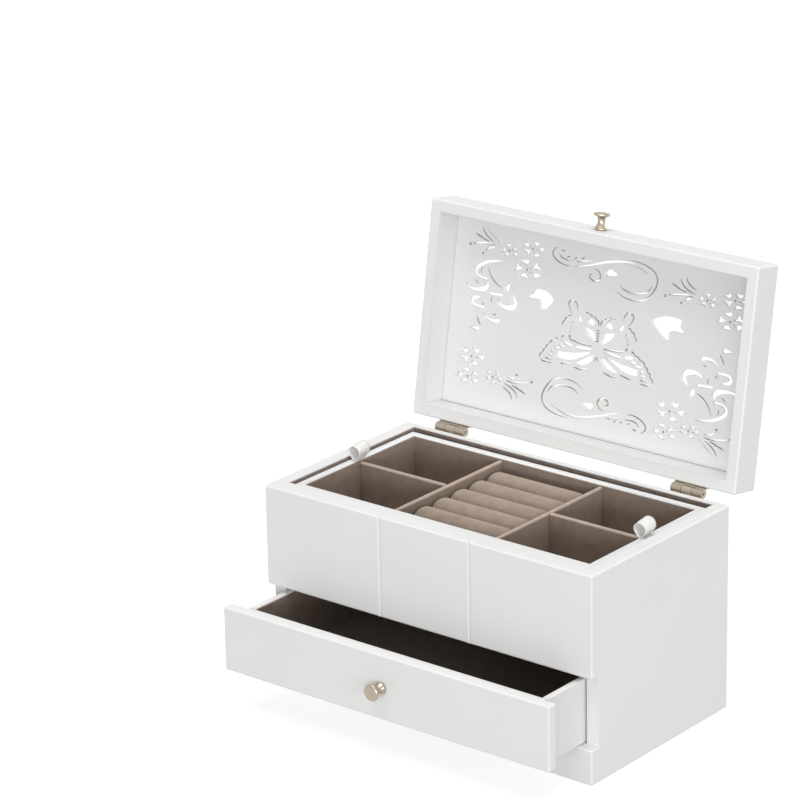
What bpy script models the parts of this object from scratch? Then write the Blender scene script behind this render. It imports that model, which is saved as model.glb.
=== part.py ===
# Jewelry box with a hinged lid, a lift-out ring tray and one drawer.
# Frame: x runs to the right, y from the front to the back and z up. The origin lies on the
# floor under the middle of the closed carcass. All lengths are in metres.
# The box stands open: the lid rests on its stop, the drawer is pulled out part of the way
# and the tray sits on its cleats.

from math import acos, atan2, cos, pi, radians, sin

import bmesh
import bpy
from mathutils import Matrix, Vector

for old_object in list(bpy.data.objects):
    bpy.data.objects.remove(old_object, do_unlink=True)

mm = 0.001

# Overall sizes
box_width = 280 * mm
box_depth = 158 * mm
body_height = 150 * mm
lid_gap = 2 * mm
lid_height = 24.7 * mm

# Clearances
seam_gap = 0.3 * mm
drawer_side_gap = 1.3 * mm
drawer_end_gap = 4 * mm
drawer_top_gap = 1.7 * mm
drawer_foot_gap = 1.9 * mm
overrun = 1 * mm

# Boards of the carcass
front_thickness = 8 * mm
side_thickness = 10 * mm
back_thickness = 4.7 * mm
inner_front_thickness = 5.5 * mm
floor_thickness = 4.5 * mm
base_thickness = 4.5 * mm
back_foot_height = 13 * mm
board_round = 1.1 * mm
board_round_steps = 1
groove_offset = 38.5 * mm
groove_width = 4.5 * mm
groove_depth = 1.5 * mm

# Plinth with its arch
plinth_height = 25.5 * mm
arch_height = 13 * mm
plinth_foot_length = 46 * mm
arch_points = 14
arch_power_share = 2.4
arch_drop_share = 1.105
arch_flare_share = 0.84

# Velvet linings
lining_thickness = 0.8 * mm
lining_drop = 5 * mm
drawer_lining_drop = 1 * mm

# Lid
rail_thickness = 8.8 * mm
panel_thickness = 3 * mm
panel_round = 1.2 * mm
panel_round_steps = 3
opening_angle = radians(99.4)

# Hinges: two barrel hinges on the back
barrel_radius = 3.1 * mm
barrel_setback = 4.2 * mm
hinge_inset = 24 * mm
hinge_length = 26 * mm
leaf_height = 13 * mm
leaf_thickness = 1 * mm
leaf_lip = 0.6 * mm
knuckle_count = 3
knuckle_steps = 11
web_share = 0.33
pin_radius = 1 * mm
pin_clearance = 0.15 * mm
pin_proud = 0.5 * mm
pin_steps = 10

# Screws
wood_screw_radius = 0.8 * mm
wood_screw_length = 4.4 * mm
wood_screw_head_radius = 1.9 * mm
wood_screw_head_height = 0.8 * mm
wood_screw_inset = 6 * mm
wood_screw_drop = 7 * mm
knob_screw_radius = 1.4 * mm
knob_screw_head_radius = 2.8 * mm
knob_screw_head_height = 1.4 * mm
knob_screw_bite = 4.5 * mm
screw_clearance = 0.3 * mm
screw_steps = 8

# Turned knobs
knob_length = 12 * mm
knob_base_radius = 4.3 * mm
knob_waist_radius = 2.6 * mm
knob_cap_radius = 6 * mm
knob_steps = 20

# Drawer
drawer_front_height = 47.2 * mm
drawer_wall = 4.5 * mm
drawer_inner_front = 5.7 * mm
drawer_bottom_thickness = 2.5 * mm
drawer_bottom_lift = 0.8 * mm
drawer_side_drop = 2.4 * mm
drawer_pull = 47 * mm

# Tray
tray_side_gap = 0.9 * mm
tray_front_gap = 1 * mm
tray_height = 37 * mm
tray_wall = 5.5 * mm
tray_wall_round = 1.2 * mm
tray_rim_drop = 2 * mm
tray_bottom_thickness = 3 * mm
tray_lining_drop = 1 * mm
divider_thickness = 3 * mm
divider_round = 0.9 * mm
divider_drop = 1.5 * mm
divider_offset = 43.5 * mm
cleat_width = 6.6 * mm
cleat_height = 5 * mm

# Ring rolls
roll_count = 5
roll_gap = 0.4 * mm
roll_drop = 4 * mm
roll_front_slot = 12.2 * mm
roll_back_gap = 5.4 * mm
roll_end_length = 8.5 * mm
roll_end_rings = 3
roll_steps = 20

# Ribbon pulls
ribbon_width = 11.5 * mm
ribbon_thickness = 0.5 * mm
ribbon_rise = 12.6 * mm
ribbon_bight = 5.2 * mm
ribbon_tail = 9 * mm
ribbon_arc_points = 14

# Pierced ornament, drawn on a grid that is fixed to the lid's middle
grid_columns = 280
grid_rows = 158
slit_stations = 2
cell_stations = 2
dot_points = 6
speck_points = 4


# Places worked out from the sizes above
half_width = box_width / 2
arch_half_span = half_width - plinth_foot_length
front_y = -box_depth / 2
back_y = box_depth / 2
inner_x = half_width - side_thickness
board_front_y = front_y + front_thickness
inner_back_y = back_y - back_thickness
well_front_y = board_front_y + seam_gap + inner_front_thickness

drawer_bottom_z = plinth_height + drawer_foot_gap
drawer_top_z = drawer_bottom_z + drawer_front_height
panel_foot_z = drawer_top_z + drawer_top_gap
floor_top_z = drawer_top_z + floor_thickness
base_bottom_z = plinth_height - base_thickness

lid_bottom_z = body_height + lid_gap
lid_top_z = lid_bottom_z + lid_height
panel_bottom_z = lid_top_z - panel_thickness
hinge_axis = Vector((0, back_y + barrel_setback, body_height + lid_gap / 2))

# The tray fits the lined compartment, and at its back it clears the shut lid's back rail.
lined_x = inner_x - seam_gap - lining_thickness
lined_front_y = well_front_y + seam_gap + lining_thickness
lined_back_y = inner_back_y - seam_gap - lining_thickness
tray_half = lined_x - tray_side_gap
tray_front_y = lined_front_y + tray_front_gap
tray_back_y = back_y - rail_thickness - seam_gap
tray_y = (tray_front_y + tray_back_y) / 2
tray_top_z = body_height - tray_rim_drop
tray_bottom_z = tray_top_z - tray_height

grid_column = box_width / grid_columns
grid_row = box_depth / grid_rows


def make_finish(name, colour, roughness, metallic=0.0):
    finish = bpy.data.materials.new(name)
    finish.use_nodes = True
    shader = finish.node_tree.nodes["Principled BSDF"]
    shader.inputs["Base Color"].default_value = (*colour, 1.0)
    shader.inputs["Roughness"].default_value = roughness
    shader.inputs["Metallic"].default_value = metallic
    finish.diffuse_color = (*colour, 1.0)
    return finish


paint = make_finish("white_paint", (0.86, 0.86, 0.85), 0.4)
velvet = make_finish("taupe_velvet", (0.13, 0.10, 0.085), 0.9)
roll_velvet = make_finish("light_taupe_velvet", (0.33, 0.26, 0.21), 0.9)
nickel = make_finish("satin_nickel", (0.62, 0.57, 0.48), 0.3, 1.0)
satin = make_finish("white_satin_ribbon", (0.88, 0.88, 0.86), 0.5)


# Carriers: an empty on each joint's axis, and the place it has when the box is shut

def make_carrier(name, shut_place, shift=(0, 0, 0), turn=0):
    empty = bpy.data.objects.new(name, None)
    bpy.context.collection.objects.link(empty)
    empty.location = shut_place + Vector(shift)
    empty.rotation_euler = (turn, 0, 0)
    return empty, shut_place


lid = make_carrier("lid_hinge_axis", hinge_axis, turn=-opening_angle)
drawer = make_carrier("drawer_slide_axis", Vector((0, 0, drawer_bottom_z)), (0, -drawer_pull, 0))
tray = make_carrier("tray_lift_axis", Vector((0, tray_y, tray_bottom_z)))


def add_object(name, data, finish, carrier=None):
    # Mesh points are given as they lie in the shut box; the carrier moves them.
    body = bpy.data.objects.new(name, data)
    bpy.context.collection.objects.link(body)
    body.data.materials.append(finish)
    if carrier:
        empty, shut_place = carrier
        body.parent = empty
        body.location = -shut_place
    return body


def add_mesh(name, shape, finish, carrier=None):
    bmesh.ops.recalc_face_normals(shape, faces=shape.faces)
    mesh = bpy.data.meshes.new(name)
    shape.to_mesh(mesh)
    shape.free()
    return add_object(name, mesh, finish, carrier)


def soften_edges(body, width):
    bevel = body.modifiers.new("soft_edges", "BEVEL")
    bevel.width = width
    bevel.segments = board_round_steps
    bevel.limit_method = "ANGLE"
    bevel.angle_limit = radians(40)


def cut_with(body, cutter):
    cutter.parent = body.parent
    cutter.location = body.location
    cutter.hide_render = True
    cutter.display_type = "WIRE"
    cut = body.modifiers.new(cutter.name, "BOOLEAN")
    cut.operation = "DIFFERENCE"
    cut.object = cutter


def join_with(body, other):
    other.parent = body.parent
    other.location = body.location
    other.hide_render = True
    other.display_type = "WIRE"
    union = body.modifiers.new(other.name, "BOOLEAN")
    union.operation = "UNION"
    union.object = other


def box_shape(low, high):
    shape = bmesh.new()
    bmesh.ops.create_cube(shape, size=1)
    size = Vector(high) - Vector(low)
    bmesh.ops.scale(shape, vec=size, verts=shape.verts)
    bmesh.ops.translate(shape, vec=(Vector(low) + Vector(high)) / 2, verts=shape.verts)
    return shape


def add_board(name, low, high, finish, carrier=None, rounding=board_round):
    body = add_mesh(name, box_shape(low, high), finish, carrier)
    if rounding:
        soften_edges(body, rounding)
    return body


def prism_shape(outline, low, high, place):
    # place(a, b, c) turns an outline point (a, b) and a height c into a point in space.
    shape = bmesh.new()
    ring = [shape.verts.new(place(a, b, low)) for a, b in outline]
    face = shape.faces.new(ring)
    grown = bmesh.ops.extrude_face_region(shape, geom=[face])
    raised = [item for item in grown["geom"] if isinstance(item, bmesh.types.BMVert)]
    bmesh.ops.translate(shape, vec=place(0, 0, high) - place(0, 0, low), verts=raised)
    return shape


def turned_shape(profile, steps, turn, place):
    # A profile of (radius, height) about z, from one pole to the other, turned and placed.
    shape = bmesh.new()
    chain = [shape.verts.new((radius, 0, height)) for radius, height in profile]
    edges = [shape.edges.new(pair) for pair in zip(chain, chain[1:])]
    bmesh.ops.spin(
        shape, geom=chain + edges, cent=(0, 0, 0), axis=(0, 0, 1),
        angle=2 * pi, steps=steps, use_merge=True,
    )
    poles = [vertex for vertex in shape.verts if Vector(vertex.co[:2]).length < pole_reach]
    bmesh.ops.remove_doubles(shape, verts=poles, dist=pole_reach)
    bmesh.ops.transform(shape, matrix=Matrix.Translation(place) @ turn, verts=shape.verts)
    return shape


pole_reach = 0.001 * mm
toward_front = Matrix.Rotation(pi / 2, 4, "X")
toward_back = Matrix.Rotation(-pi / 2, 4, "X")
toward_right = Matrix.Rotation(pi / 2, 4, "Y")


def tray_shape_of(low, high, wall, floor):
    # A thin open box: the top face is inset and pushed down to leave walls and a floor.
    shape = box_shape(low, high)
    top = max(shape.faces, key=lambda face: face.calc_center_median().z)
    bmesh.ops.inset_region(shape, faces=[top], thickness=wall, use_even_offset=True)
    depth = high[2] - low[2] - floor
    sunk = bmesh.ops.extrude_discrete_faces(shape, faces=[top])["faces"]
    bmesh.ops.translate(shape, vec=(0, 0, -depth), verts=sunk[0].verts)
    bmesh.ops.remove_doubles(shape, verts=shape.verts, dist=pole_reach)
    return shape


def mirrored(side, low_x, high_x):
    # The x range of a piece on the left (-1) or the right (+1).
    return sorted((side * low_x, side * high_x))


sides = (("left", -1), ("right", 1))


# Carcass: two sides, a back, an upper front with two grooves, a plinth and two floors

def make_carcass():
    for label, side in sides:
        low_x, high_x = mirrored(side, inner_x, half_width)
        add_board(
            f"side_panel_{label}",
            (low_x, board_front_y + seam_gap, 0), (high_x, back_y, body_height), paint,
        )
    back = add_board(
        "back_panel",
        (-inner_x + seam_gap, inner_back_y, back_foot_height),
        (inner_x - seam_gap, back_y, body_height), paint,
    )
    make_upper_front()
    make_plinth()
    add_board(
        "inner_front_board",
        (-inner_x + seam_gap, board_front_y + seam_gap, floor_top_z + seam_gap),
        (inner_x - seam_gap, well_front_y, body_height), paint,
    )
    for name, low_z, high_z in (
        ("compartment_floor", drawer_top_z, floor_top_z),
        ("bottom_board", base_bottom_z, plinth_height),
    ):
        add_board(
            name,
            (-inner_x + seam_gap, board_front_y + seam_gap, low_z),
            (inner_x - seam_gap, inner_back_y - seam_gap, high_z), paint, rounding=0,
        )
    return back


def make_upper_front():
    outline = [(-half_width, board_front_y), (-half_width, front_y)]
    for centre in (-groove_offset, groove_offset):
        outline.append((centre - groove_width / 2, front_y))
        outline.append((centre, front_y + groove_depth))
        outline.append((centre + groove_width / 2, front_y))
    outline += [(half_width, front_y), (half_width, board_front_y)]
    shape = prism_shape(outline, panel_foot_z, body_height, lambda a, b, c: Vector((a, b, c)))
    soften_edges(add_mesh("upper_front_panel", shape, paint), board_round)


def arch_rise(across):
    # Height share of the plinth's arch at a share of its half span: a flat crown that
    # falls off to a short flare at the foot.
    if across <= arch_flare_share:
        return 1 - arch_drop_share * across ** arch_power_share
    foot = 1 - arch_drop_share * arch_flare_share ** arch_power_share
    slope = -arch_drop_share * arch_power_share * arch_flare_share ** (arch_power_share - 1)
    run = 1 - arch_flare_share
    step = (across - arch_flare_share) / run
    start_weight = (1 + 2 * step) * (1 - step) ** 2
    slope_weight = step * (1 - step) ** 2
    return start_weight * foot + slope_weight * slope * run


def make_plinth():
    outline = [(-half_width, 0), (-half_width, plinth_height)]
    outline += [(half_width, plinth_height), (half_width, 0)]
    for index in range(2 * arch_points + 1):
        across = 1 - index / arch_points
        outline.append((across * arch_half_span, arch_height * arch_rise(abs(across))))
    shape = prism_shape(outline, front_y, board_front_y, lambda a, b, c: Vector((a, c, b)))
    soften_edges(add_mesh("plinth", shape, paint), board_round)


def make_well():
    low = (-inner_x + seam_gap, well_front_y + seam_gap, floor_top_z + seam_gap)
    high = (inner_x - seam_gap, inner_back_y - seam_gap, body_height - lining_drop)
    lining = tray_shape_of(low, high, lining_thickness, lining_thickness)
    add_mesh("compartment_liner", lining, velvet)
    cleat_outer = lined_x - seam_gap
    cleat_top = tray_bottom_z - seam_gap
    for label, side in sides:
        low_x, high_x = mirrored(side, cleat_outer - cleat_width, cleat_outer)
        add_board(
            f"tray_cleat_{label}",
            (low_x, lined_front_y + seam_gap, cleat_top - cleat_height),
            (high_x, lined_back_y - seam_gap, cleat_top), velvet, rounding=divider_round,
        )


# Lid: four rails under a pierced panel, all drawn as in the shut box

def make_lid():
    low_z = lid_bottom_z
    high_z = panel_bottom_z - seam_gap
    front = add_board(
        "lid_rail_front", (-half_width, front_y, low_z),
        (half_width, front_y + rail_thickness, high_z), paint, lid,
    )
    back = add_board(
        "lid_rail_back", (-half_width, back_y - rail_thickness, low_z),
        (half_width, back_y, high_z), paint, lid,
    )
    for label, side in sides:
        low_x, high_x = mirrored(side, half_width - rail_thickness, half_width)
        add_board(
            f"lid_rail_{label}",
            (low_x, front_y + rail_thickness + seam_gap, low_z),
            (high_x, back_y - rail_thickness - seam_gap, high_z), paint, lid,
        )
    knob_z = lid_bottom_z + lid_height / 2
    make_knob("lid_knob", front, knob_z, rail_thickness, lid)
    make_lid_panel()
    return back


# Ornament: smooth lines through a few points, in grid cells from the middle of the lid

def curve_through(points, stations, closed):
    # Points of a Catmull-Rom curve, with this many stations in each span.
    count = len(points)
    spans = count if closed else count - 1
    path = []
    for span in range(spans):
        picks = []
        for offset in (-1, 0, 1, 2):
            index = span + offset
            index = index % count if closed else min(max(index, 0), count - 1)
            picks.append(Vector(points[index]))
        before, start, end, after = picks
        for station in range(stations):
            t = station / stations
            path.append(0.5 * (
                2 * start + (end - before) * t
                + (2 * before - 5 * start + 4 * end - after) * t ** 2
                + (3 * start - before - 3 * end + after) * t ** 3
            ))
    if not closed:
        path.append(Vector(points[-1]))
    return path


def slit(points, width):
    # The outline of a slit along a curve: widest in its middle and pointed at both ends.
    path = curve_through(points, slit_stations, False)
    last = len(path) - 1
    left, right = [], []
    for index in range(1, last):
        along = path[index + 1] - path[index - 1]
        across = Vector((-along.y, along.x)).normalized()
        half = width / 2 * sin(pi * index / last) ** slit_taper_share
        left.append(path[index] + across * half)
        right.append(path[index] - across * half)
    return [path[0]] + left + [path[-1]] + right[::-1]


def dot(centre, radius, points):
    turns = [2 * pi * step / points for step in range(points)]
    return [Vector(centre) + radius * Vector((cos(turn), sin(turn))) for turn in turns]


def blossom(centre, radius, turn):
    # Five heart-like petals.
    holes = []
    for petal in range(petal_count):
        facing = turn + 2 * pi * petal / petal_count
        outward = Vector((cos(facing), sin(facing)))
        across = Vector((-outward.y, outward.x))
        outline = []
        for near, wide in petal_shares:
            outline.append(Vector(centre) + radius * (outward * near + across * wide))
        holes.append(outline)
    return holes


slit_taper_share = 0.7
petal_count = 5
petal_shares = (
    (0.40, 0.0), (0.66, 0.27), (0.96, 0.24), (0.88, 0.0), (0.96, -0.24), (0.66, -0.27),
)

# One half of the ornament's turned motifs: the other half is the same after half a turn
scroll_slit_shares = (
    (1.3, ((-8, 37), (-17, 33.4), (-28, 32.6), (-38, 37), (-43.4, 45), (-42.6, 53), (-36, 59),
           (-25, 60.3))),
    (1.1, ((-12, 42), (-20, 38.4), (-29, 38), (-36.4, 41.4), (-39.6, 47))),
    (1.5, ((-35, 53.5), (-25, 56.7), (-14, 58.6), (0, 56.6), (14, 52.4), (29, 47.8))),
    (1.0, ((12, 55), (21, 53), (31, 51.2))),
    (1.3, ((31.5, 48.2), (39, 47.6), (45.6, 50.6), (46.4, 55.4), (41.6, 57.8), (37, 56.6))),
    (1.1, ((12, 50.4), (7, 48.6), (5, 44.6), (7.6, 41.6), (12.6, 42))),
)
leaf_shares = ((-8, 48.6), (-4, 50.4), (0.4, 50), (2, 48), (-1.4, 46.4), (-5, 46.6))
blossom_shares = (
    (8.8, (-110, 49.4), 0.94), (7.4, (-88, 44.6), 0.9), (9.6, (-107.4, 31.4), -0.04),
    (8.8, (65, 54.4), 0.94), (7.4, (85, 48.4), 0.2), (9.6, (67.6, 36.4), -0.04),
)
blade_shares = (
    (1.5, ((-78, 47.2), (-69, 50.2), (-59.4, 51.6))),
    (1.4, ((-75, 51), (-70.6, 54.4), (-65, 55.6))),
    (1.2, ((-76, 43.6), (-66, 42.6), (-56.4, 41.6))),
    (1.2, ((-76.6, 40.8), (-72, 40.2), (-69, 39.6))),
    (1.5, ((95.4, 51.2), (104.6, 54.6), (114.6, 57))),
    (1.4, ((98, 56), (103, 59.6), (108, 61.2))),
    (1.2, ((98, 48), (108, 49.6), (118, 48.8))),
    (1.2, ((98, 45), (102, 44.6), (105, 44))),
)
dot_shares = (
    (1.1, (-53.4, 41.2)), (1.1, (-66.6, 39)), (1.1, (-62.4, 55.6)),
    (1.1, (107.6, 43.4)), (1.1, (111, 61.6)),
)
cloud_shares = (
    (1.4, ((-110.4, 11.2), (-105.6, 13.4), (-100.8, 12), (-103.6, 7), (-106.2, 3))),
    (2.4, ((-99, -1.2), (-95, 2.6), (-88.6, 2.2), (-85, -1.8))),
    (1.8, ((-102, -3.6), (-109.6, -4.4), (-113, -8.4), (-108.6, -12))),
    (3.0, ((-91, -8), (-82.4, -6.4), (-75, -9.4), (-75.4, -15.6), (-80.6, -19.6), (-84.6, -23))),
    (2.2, ((-119, -17.6), (-109, -14.9), (-97.6, -15.6), (-87, -13.6))),
    (1.6, ((-99.6, -23.2), (-106.6, -23.6), (-112, -27.6))),
    (2.0, ((-112.6, -31), (-108.6, -37), (-101, -40.4), (-90, -40.6))),
    (1.1, ((-103.6, -33), (-100.6, -27.6), (-95, -23), (-88.6, -20.8))),
)

# The right half of the butterfly, seen from above, mirrored for the left half
wing_cell_shares = (
    ((4, 11.4), (10, 17.6), (21.6, 21), (18, 16), (9, 12)),
    ((8.4, 10), (20, 13.4), (33.4, 19), (34.6, 14.4), (22, 11)),
    ((8.4, 6.8), (18.4, 9), (18, 6.4)),
    ((21, 8.4), (28.6, 9.6), (28, 6.6), (21.4, 6.2)),
    ((3.4, 0.2), (9, -3.6), (12.6, -7.6), (4.6, -6.6)),
    ((6, -11), (8.4, -9), (10.6, -11), (8.4, -13.2)),
    ((15.6, -12.8), (18.6, -8.6), (20.2, -13.6)),
    ((16, 1), (21, 1.6), (19, -3)),
)
wing_slit_shares = (
    (1.1, ((7, 21), (14.6, 23.4), (23.4, 22.2))),
    (1.1, ((27, 21.4), (33, 22.4), (38, 21.6))),
    (1.2, ((39.4, 24.4), (45, 25), (50.4, 21.6), (46, 14.6), (38.4, 8.4), (30.4, 4.4))),
    (1.1, ((24, 1.4), (27, -3.4), (33.6, -5.8), (30.6, -10.6), (25, -13.4))),
    (1.1, ((21.4, -15.4), (20.2, -21.2), (23.4, -24.2), (27.2, -22.4), (26.2, -17.4))),
    (1.2, ((2.8, -9), (2.6, -14.4), (7.4, -16.8), (12.4, -15.6))),
    (0.9, ((1.2, 13), (2, 15.4), (3.4, 18))),
)
wing_dot_shares = (
    (0.8, (45.4, 18.4)), (0.8, (41.6, 15.2)), (0.8, (37.6, 12)), (0.8, (33.2, 9)),
    (0.8, (22.8, -2)), (0.8, (24.4, -5.4)), (0.8, (26, -8.8)), (0.8, (15.4, -6.8)),
)
belly_rows = 5
belly_top_share = 1.0
belly_pitch_share = -2.2
belly_size_shares = (1.2, 0.55)

# Two birds that face each other
bird_shares = (
    ((-41, -20.6), (-44.6, -17.4), (-49.6, -11.8), (-52, -17.4), (-62.6, -18.6),
     (-59.4, -22.2), (-56, -25), (-48.4, -25.2)),
    ((45, -22.4), (50, -16.6), (57.4, -10.8), (59.4, -17.2), (71, -18.2),
     (67.6, -22.6), (68.2, -26.6), (57, -27.2), (50, -25)),
)


def half_turned(outline):
    return [(-x, -y) for x, y in outline]


def flipped(outline):
    return [(-x, y) for x, y in outline]


def ornament_outlines():
    turned = [slit(points, width) for width, points in scroll_slit_shares]
    turned += [slit(points, width) for width, points in blade_shares]
    turned += [slit(points, width) for width, points in cloud_shares]
    turned.append(curve_through(leaf_shares, cell_stations, True))
    for radius, centre, turn in blossom_shares:
        turned += blossom(centre, radius, turn)
    turned += [dot(centre, radius, dot_points) for radius, centre in dot_shares]
    turned += [half_turned(outline) for outline in turned]
    wing = [curve_through(points, cell_stations, True) for points in wing_cell_shares]
    wing += [slit(points, width) for width, points in wing_slit_shares]
    wing += [dot(centre, radius, speck_points) for radius, centre in wing_dot_shares]
    wing += [flipped(outline) for outline in wing]
    birds = [curve_through(points, cell_stations, True) for points in bird_shares]
    belly = []
    wide, high = belly_size_shares
    for row in range(belly_rows):
        y = belly_top_share + row * belly_pitch_share
        belly.append([(-wide, y - high), (wide, y - high), (wide, y + high), (-wide, y + high)])
    return turned + wing + birds + belly


def make_lid_panel():
    # A flat curve with holes, filled on both sides and thickened.
    curve = bpy.data.curves.new("lid_panel", "CURVE")
    curve.dimensions = "2D"
    curve.fill_mode = "BOTH"
    curve.extrude = panel_thickness / 2
    border = []
    for corner in range(4):
        facing_x = 1 if corner in (0, 3) else -1
        facing_y = 1 if corner in (0, 1) else -1
        for step in range(panel_round_steps + 1):
            turn = pi / 2 * (corner + step / panel_round_steps)
            border.append((
                facing_x * (half_width - panel_round) + panel_round * cos(turn),
                facing_y * (back_y - panel_round) + panel_round * sin(turn),
            ))
    outlines = [border]
    for outline in ornament_outlines():
        outlines.append([(x * grid_column, y * grid_row) for x, y in outline])
    for outline in outlines:
        spline = curve.splines.new("POLY")
        spline.points.add(len(outline) - 1)
        for point, (x, y) in zip(spline.points, outline):
            point.co = (x, y, 0, 1)
        spline.use_cyclic_u = True
    panel = add_object("lid_panel", curve, paint, lid)
    panel.location += Vector((0, 0, lid_top_z - panel_thickness / 2))
    return panel


# Knobs: a spool with a flared foot and a thin domed cap, screwed on from behind

knob_profile_shares = (
    (1.0, 0.0, 0.0), (1.0, 0.0, 0.07), (0.86, 0.0, 0.16), (0.35, 0.0, 0.27),
    (0.0, 0.0, 0.45), (0.0, 0.0, 0.60), (0.0, 0.16, 0.74), (0.0, 0.55, 0.82),
    (0.0, 0.97, 0.85), (0.0, 1.0, 0.90), (0.0, 0.94, 0.95), (0.0, 0.55, 0.985),
)


def knob_profile():
    # Shares of the foot's flare, of the cap's flare and of the length.
    profile = [(0, 0)]
    for foot, cap, height in knob_profile_shares:
        radius = knob_waist_radius
        radius += foot * (knob_base_radius - knob_waist_radius)
        radius += cap * (knob_cap_radius - knob_waist_radius)
        profile.append((radius, height * knob_length))
    profile.append((0, knob_length))
    return profile


def screw_profile(radius, length, head_radius, head_height):
    return [
        (0, 0), (radius, 0), (radius, length), (head_radius, length),
        (head_radius, length + head_height), (0, length + head_height),
    ]


def rod_profile(radius, length):
    return [(0, 0), (radius, 0), (radius, length), (0, length)]


def make_knob(name, front, centre_z, stack, carrier, counterbored=None):
    # The knob sits on the face of `front`; its screw comes from behind through the stack.
    foot = Vector((0, front_y - seam_gap, centre_z))
    knob = add_mesh(
        name, turned_shape(knob_profile(), knob_steps, toward_front, foot), nickel, carrier
    )
    hole_radius = knob_screw_radius + screw_clearance
    tip = Vector((0, front_y - seam_gap - knob_screw_bite, centre_z))
    bore_end = tip - Vector((0, screw_clearance, 0))
    bore = rod_profile(hole_radius, stack + knob_screw_bite + overrun)
    for board, label in ((knob, "knob"), (front, "front"), (counterbored, "inner")):
        if board:
            cutter = turned_shape(bore, screw_steps, toward_back, bore_end)
            cut_with(board, add_mesh(f"{name}_bore_{label}", cutter, nickel))
    behind = front_y + stack
    shank = behind + seam_gap - tip.y
    if counterbored:
        sink = knob_screw_head_height + 2 * seam_gap
        shank -= sink
        pocket = rod_profile(knob_screw_head_radius + screw_clearance, sink + overrun)
        seat = Vector((0, behind - sink, centre_z))
        cutter = turned_shape(pocket, screw_steps, toward_back, seat)
        cut_with(counterbored, add_mesh(f"{name}_pocket", cutter, nickel))
    profile = screw_profile(
        knob_screw_radius, shank, knob_screw_head_radius, knob_screw_head_height
    )
    add_mesh(
        f"{name}_screw", turned_shape(profile, screw_steps, toward_back, tip), nickel, carrier
    )


# Hinges: each has a leaf on the back, a leaf on the lid, a pin and four small screws

def knuckle_range(index, start_x):
    length = (hinge_length - (knuckle_count - 1) * seam_gap) / knuckle_count
    low_x = start_x + index * (length + seam_gap)
    return low_x, low_x + length


def make_leaf(name, start_x, upward, owned, carrier):
    # upward is +1 for the lid's leaf and -1 for the body's. The plate lies on the back and
    # a web joins it to the knuckles that this leaf owns.
    plate_y = back_y + seam_gap
    near_z = hinge_axis.z + upward * (lid_gap / 2 + leaf_lip)
    far_z = near_z + upward * leaf_height
    low_z, high_z = sorted((near_z, far_z))
    leaf = add_mesh(
        name, box_shape(
            (start_x, plate_y, low_z), (start_x + hinge_length, plate_y + leaf_thickness, high_z)
        ),
        nickel, carrier,
    )
    near = lid_gap / 2 + leaf_lip
    web = barrel_radius + leaf_lip
    plate_inner = plate_y + leaf_thickness - hinge_axis.y
    sweep_start = atan2(near, plate_inner)
    sweep_end = pi / 2 + (sweep_start - pi / 2) * web_share + 2 * pi
    outline = [(plate_y - hinge_axis.y, web), (plate_y - hinge_axis.y, near)]
    for step in range(knuckle_steps + 1):
        turn = sweep_start + (sweep_end - sweep_start) * step / knuckle_steps
        outline.append((barrel_radius * cos(turn), barrel_radius * sin(turn)))
    outline.append((plate_inner, web))

    def place(a, b, c):
        return Vector((c, hinge_axis.y + a, hinge_axis.z + upward * b))

    for index in owned:
        low_x, high_x = knuckle_range(index, start_x)
        knuckle = prism_shape(outline, low_x, high_x, place)
        join_with(leaf, add_mesh(f"{name}_knuckle_{index}", knuckle, nickel))
    bore = rod_profile(pin_radius + pin_clearance, hinge_length + 2 * overrun)
    start = Vector((start_x - overrun, hinge_axis.y, hinge_axis.z))
    cutter = turned_shape(bore, pin_steps, toward_right, start)
    cut_with(leaf, add_mesh(f"{name}_bore", cutter, nickel))
    return leaf


def make_leaf_screws(name, start_x, upward, leaf, board, carrier):
    centre_z = hinge_axis.z + upward * (lid_gap / 2 + leaf_lip + wood_screw_drop)
    head_y = back_y + seam_gap + leaf_thickness + seam_gap
    tip_y = head_y - wood_screw_length
    hole_radius = wood_screw_radius + screw_clearance
    hole = rod_profile(hole_radius, wood_screw_length + screw_clearance + overrun)
    for label, place_x in (
        ("a", start_x + wood_screw_inset), ("b", start_x + hinge_length - wood_screw_inset),
    ):
        for pierced, part in ((leaf, "leaf"), (board, "board")):
            start = Vector((place_x, tip_y - screw_clearance, centre_z))
            cutter = turned_shape(hole, screw_steps, toward_back, start)
            cut_with(pierced, add_mesh(f"{name}_{label}_hole_{part}", cutter, nickel))
        profile = screw_profile(
            wood_screw_radius, wood_screw_length, wood_screw_head_radius, wood_screw_head_height
        )
        place = Vector((place_x, tip_y, centre_z))
        screw = turned_shape(profile, screw_steps, toward_back, place)
        add_mesh(f"{name}_{label}", screw, nickel, carrier)


def make_hinges(back, lid_back):
    for label, side in sides:
        outer_x = half_width - hinge_inset
        start_x = min(side * outer_x, side * (outer_x - hinge_length))
        body_leaf = make_leaf(f"hinge_leaf_body_{label}", start_x, -1, (0, 2), None)
        lid_leaf = make_leaf(f"hinge_leaf_lid_{label}", start_x, 1, (1,), lid)
        make_leaf_screws(f"hinge_screw_body_{label}", start_x, -1, body_leaf, back, None)
        make_leaf_screws(f"hinge_screw_lid_{label}", start_x, 1, lid_leaf, lid_back, lid)
        pin = rod_profile(pin_radius, hinge_length + 2 * pin_proud)
        start = Vector((start_x - pin_proud, hinge_axis.y, hinge_axis.z))
        add_mesh(f"hinge_pin_{label}", turned_shape(pin, pin_steps, toward_right, start), nickel)


# Drawer: a face, a box behind it and a velvet lining

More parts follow.
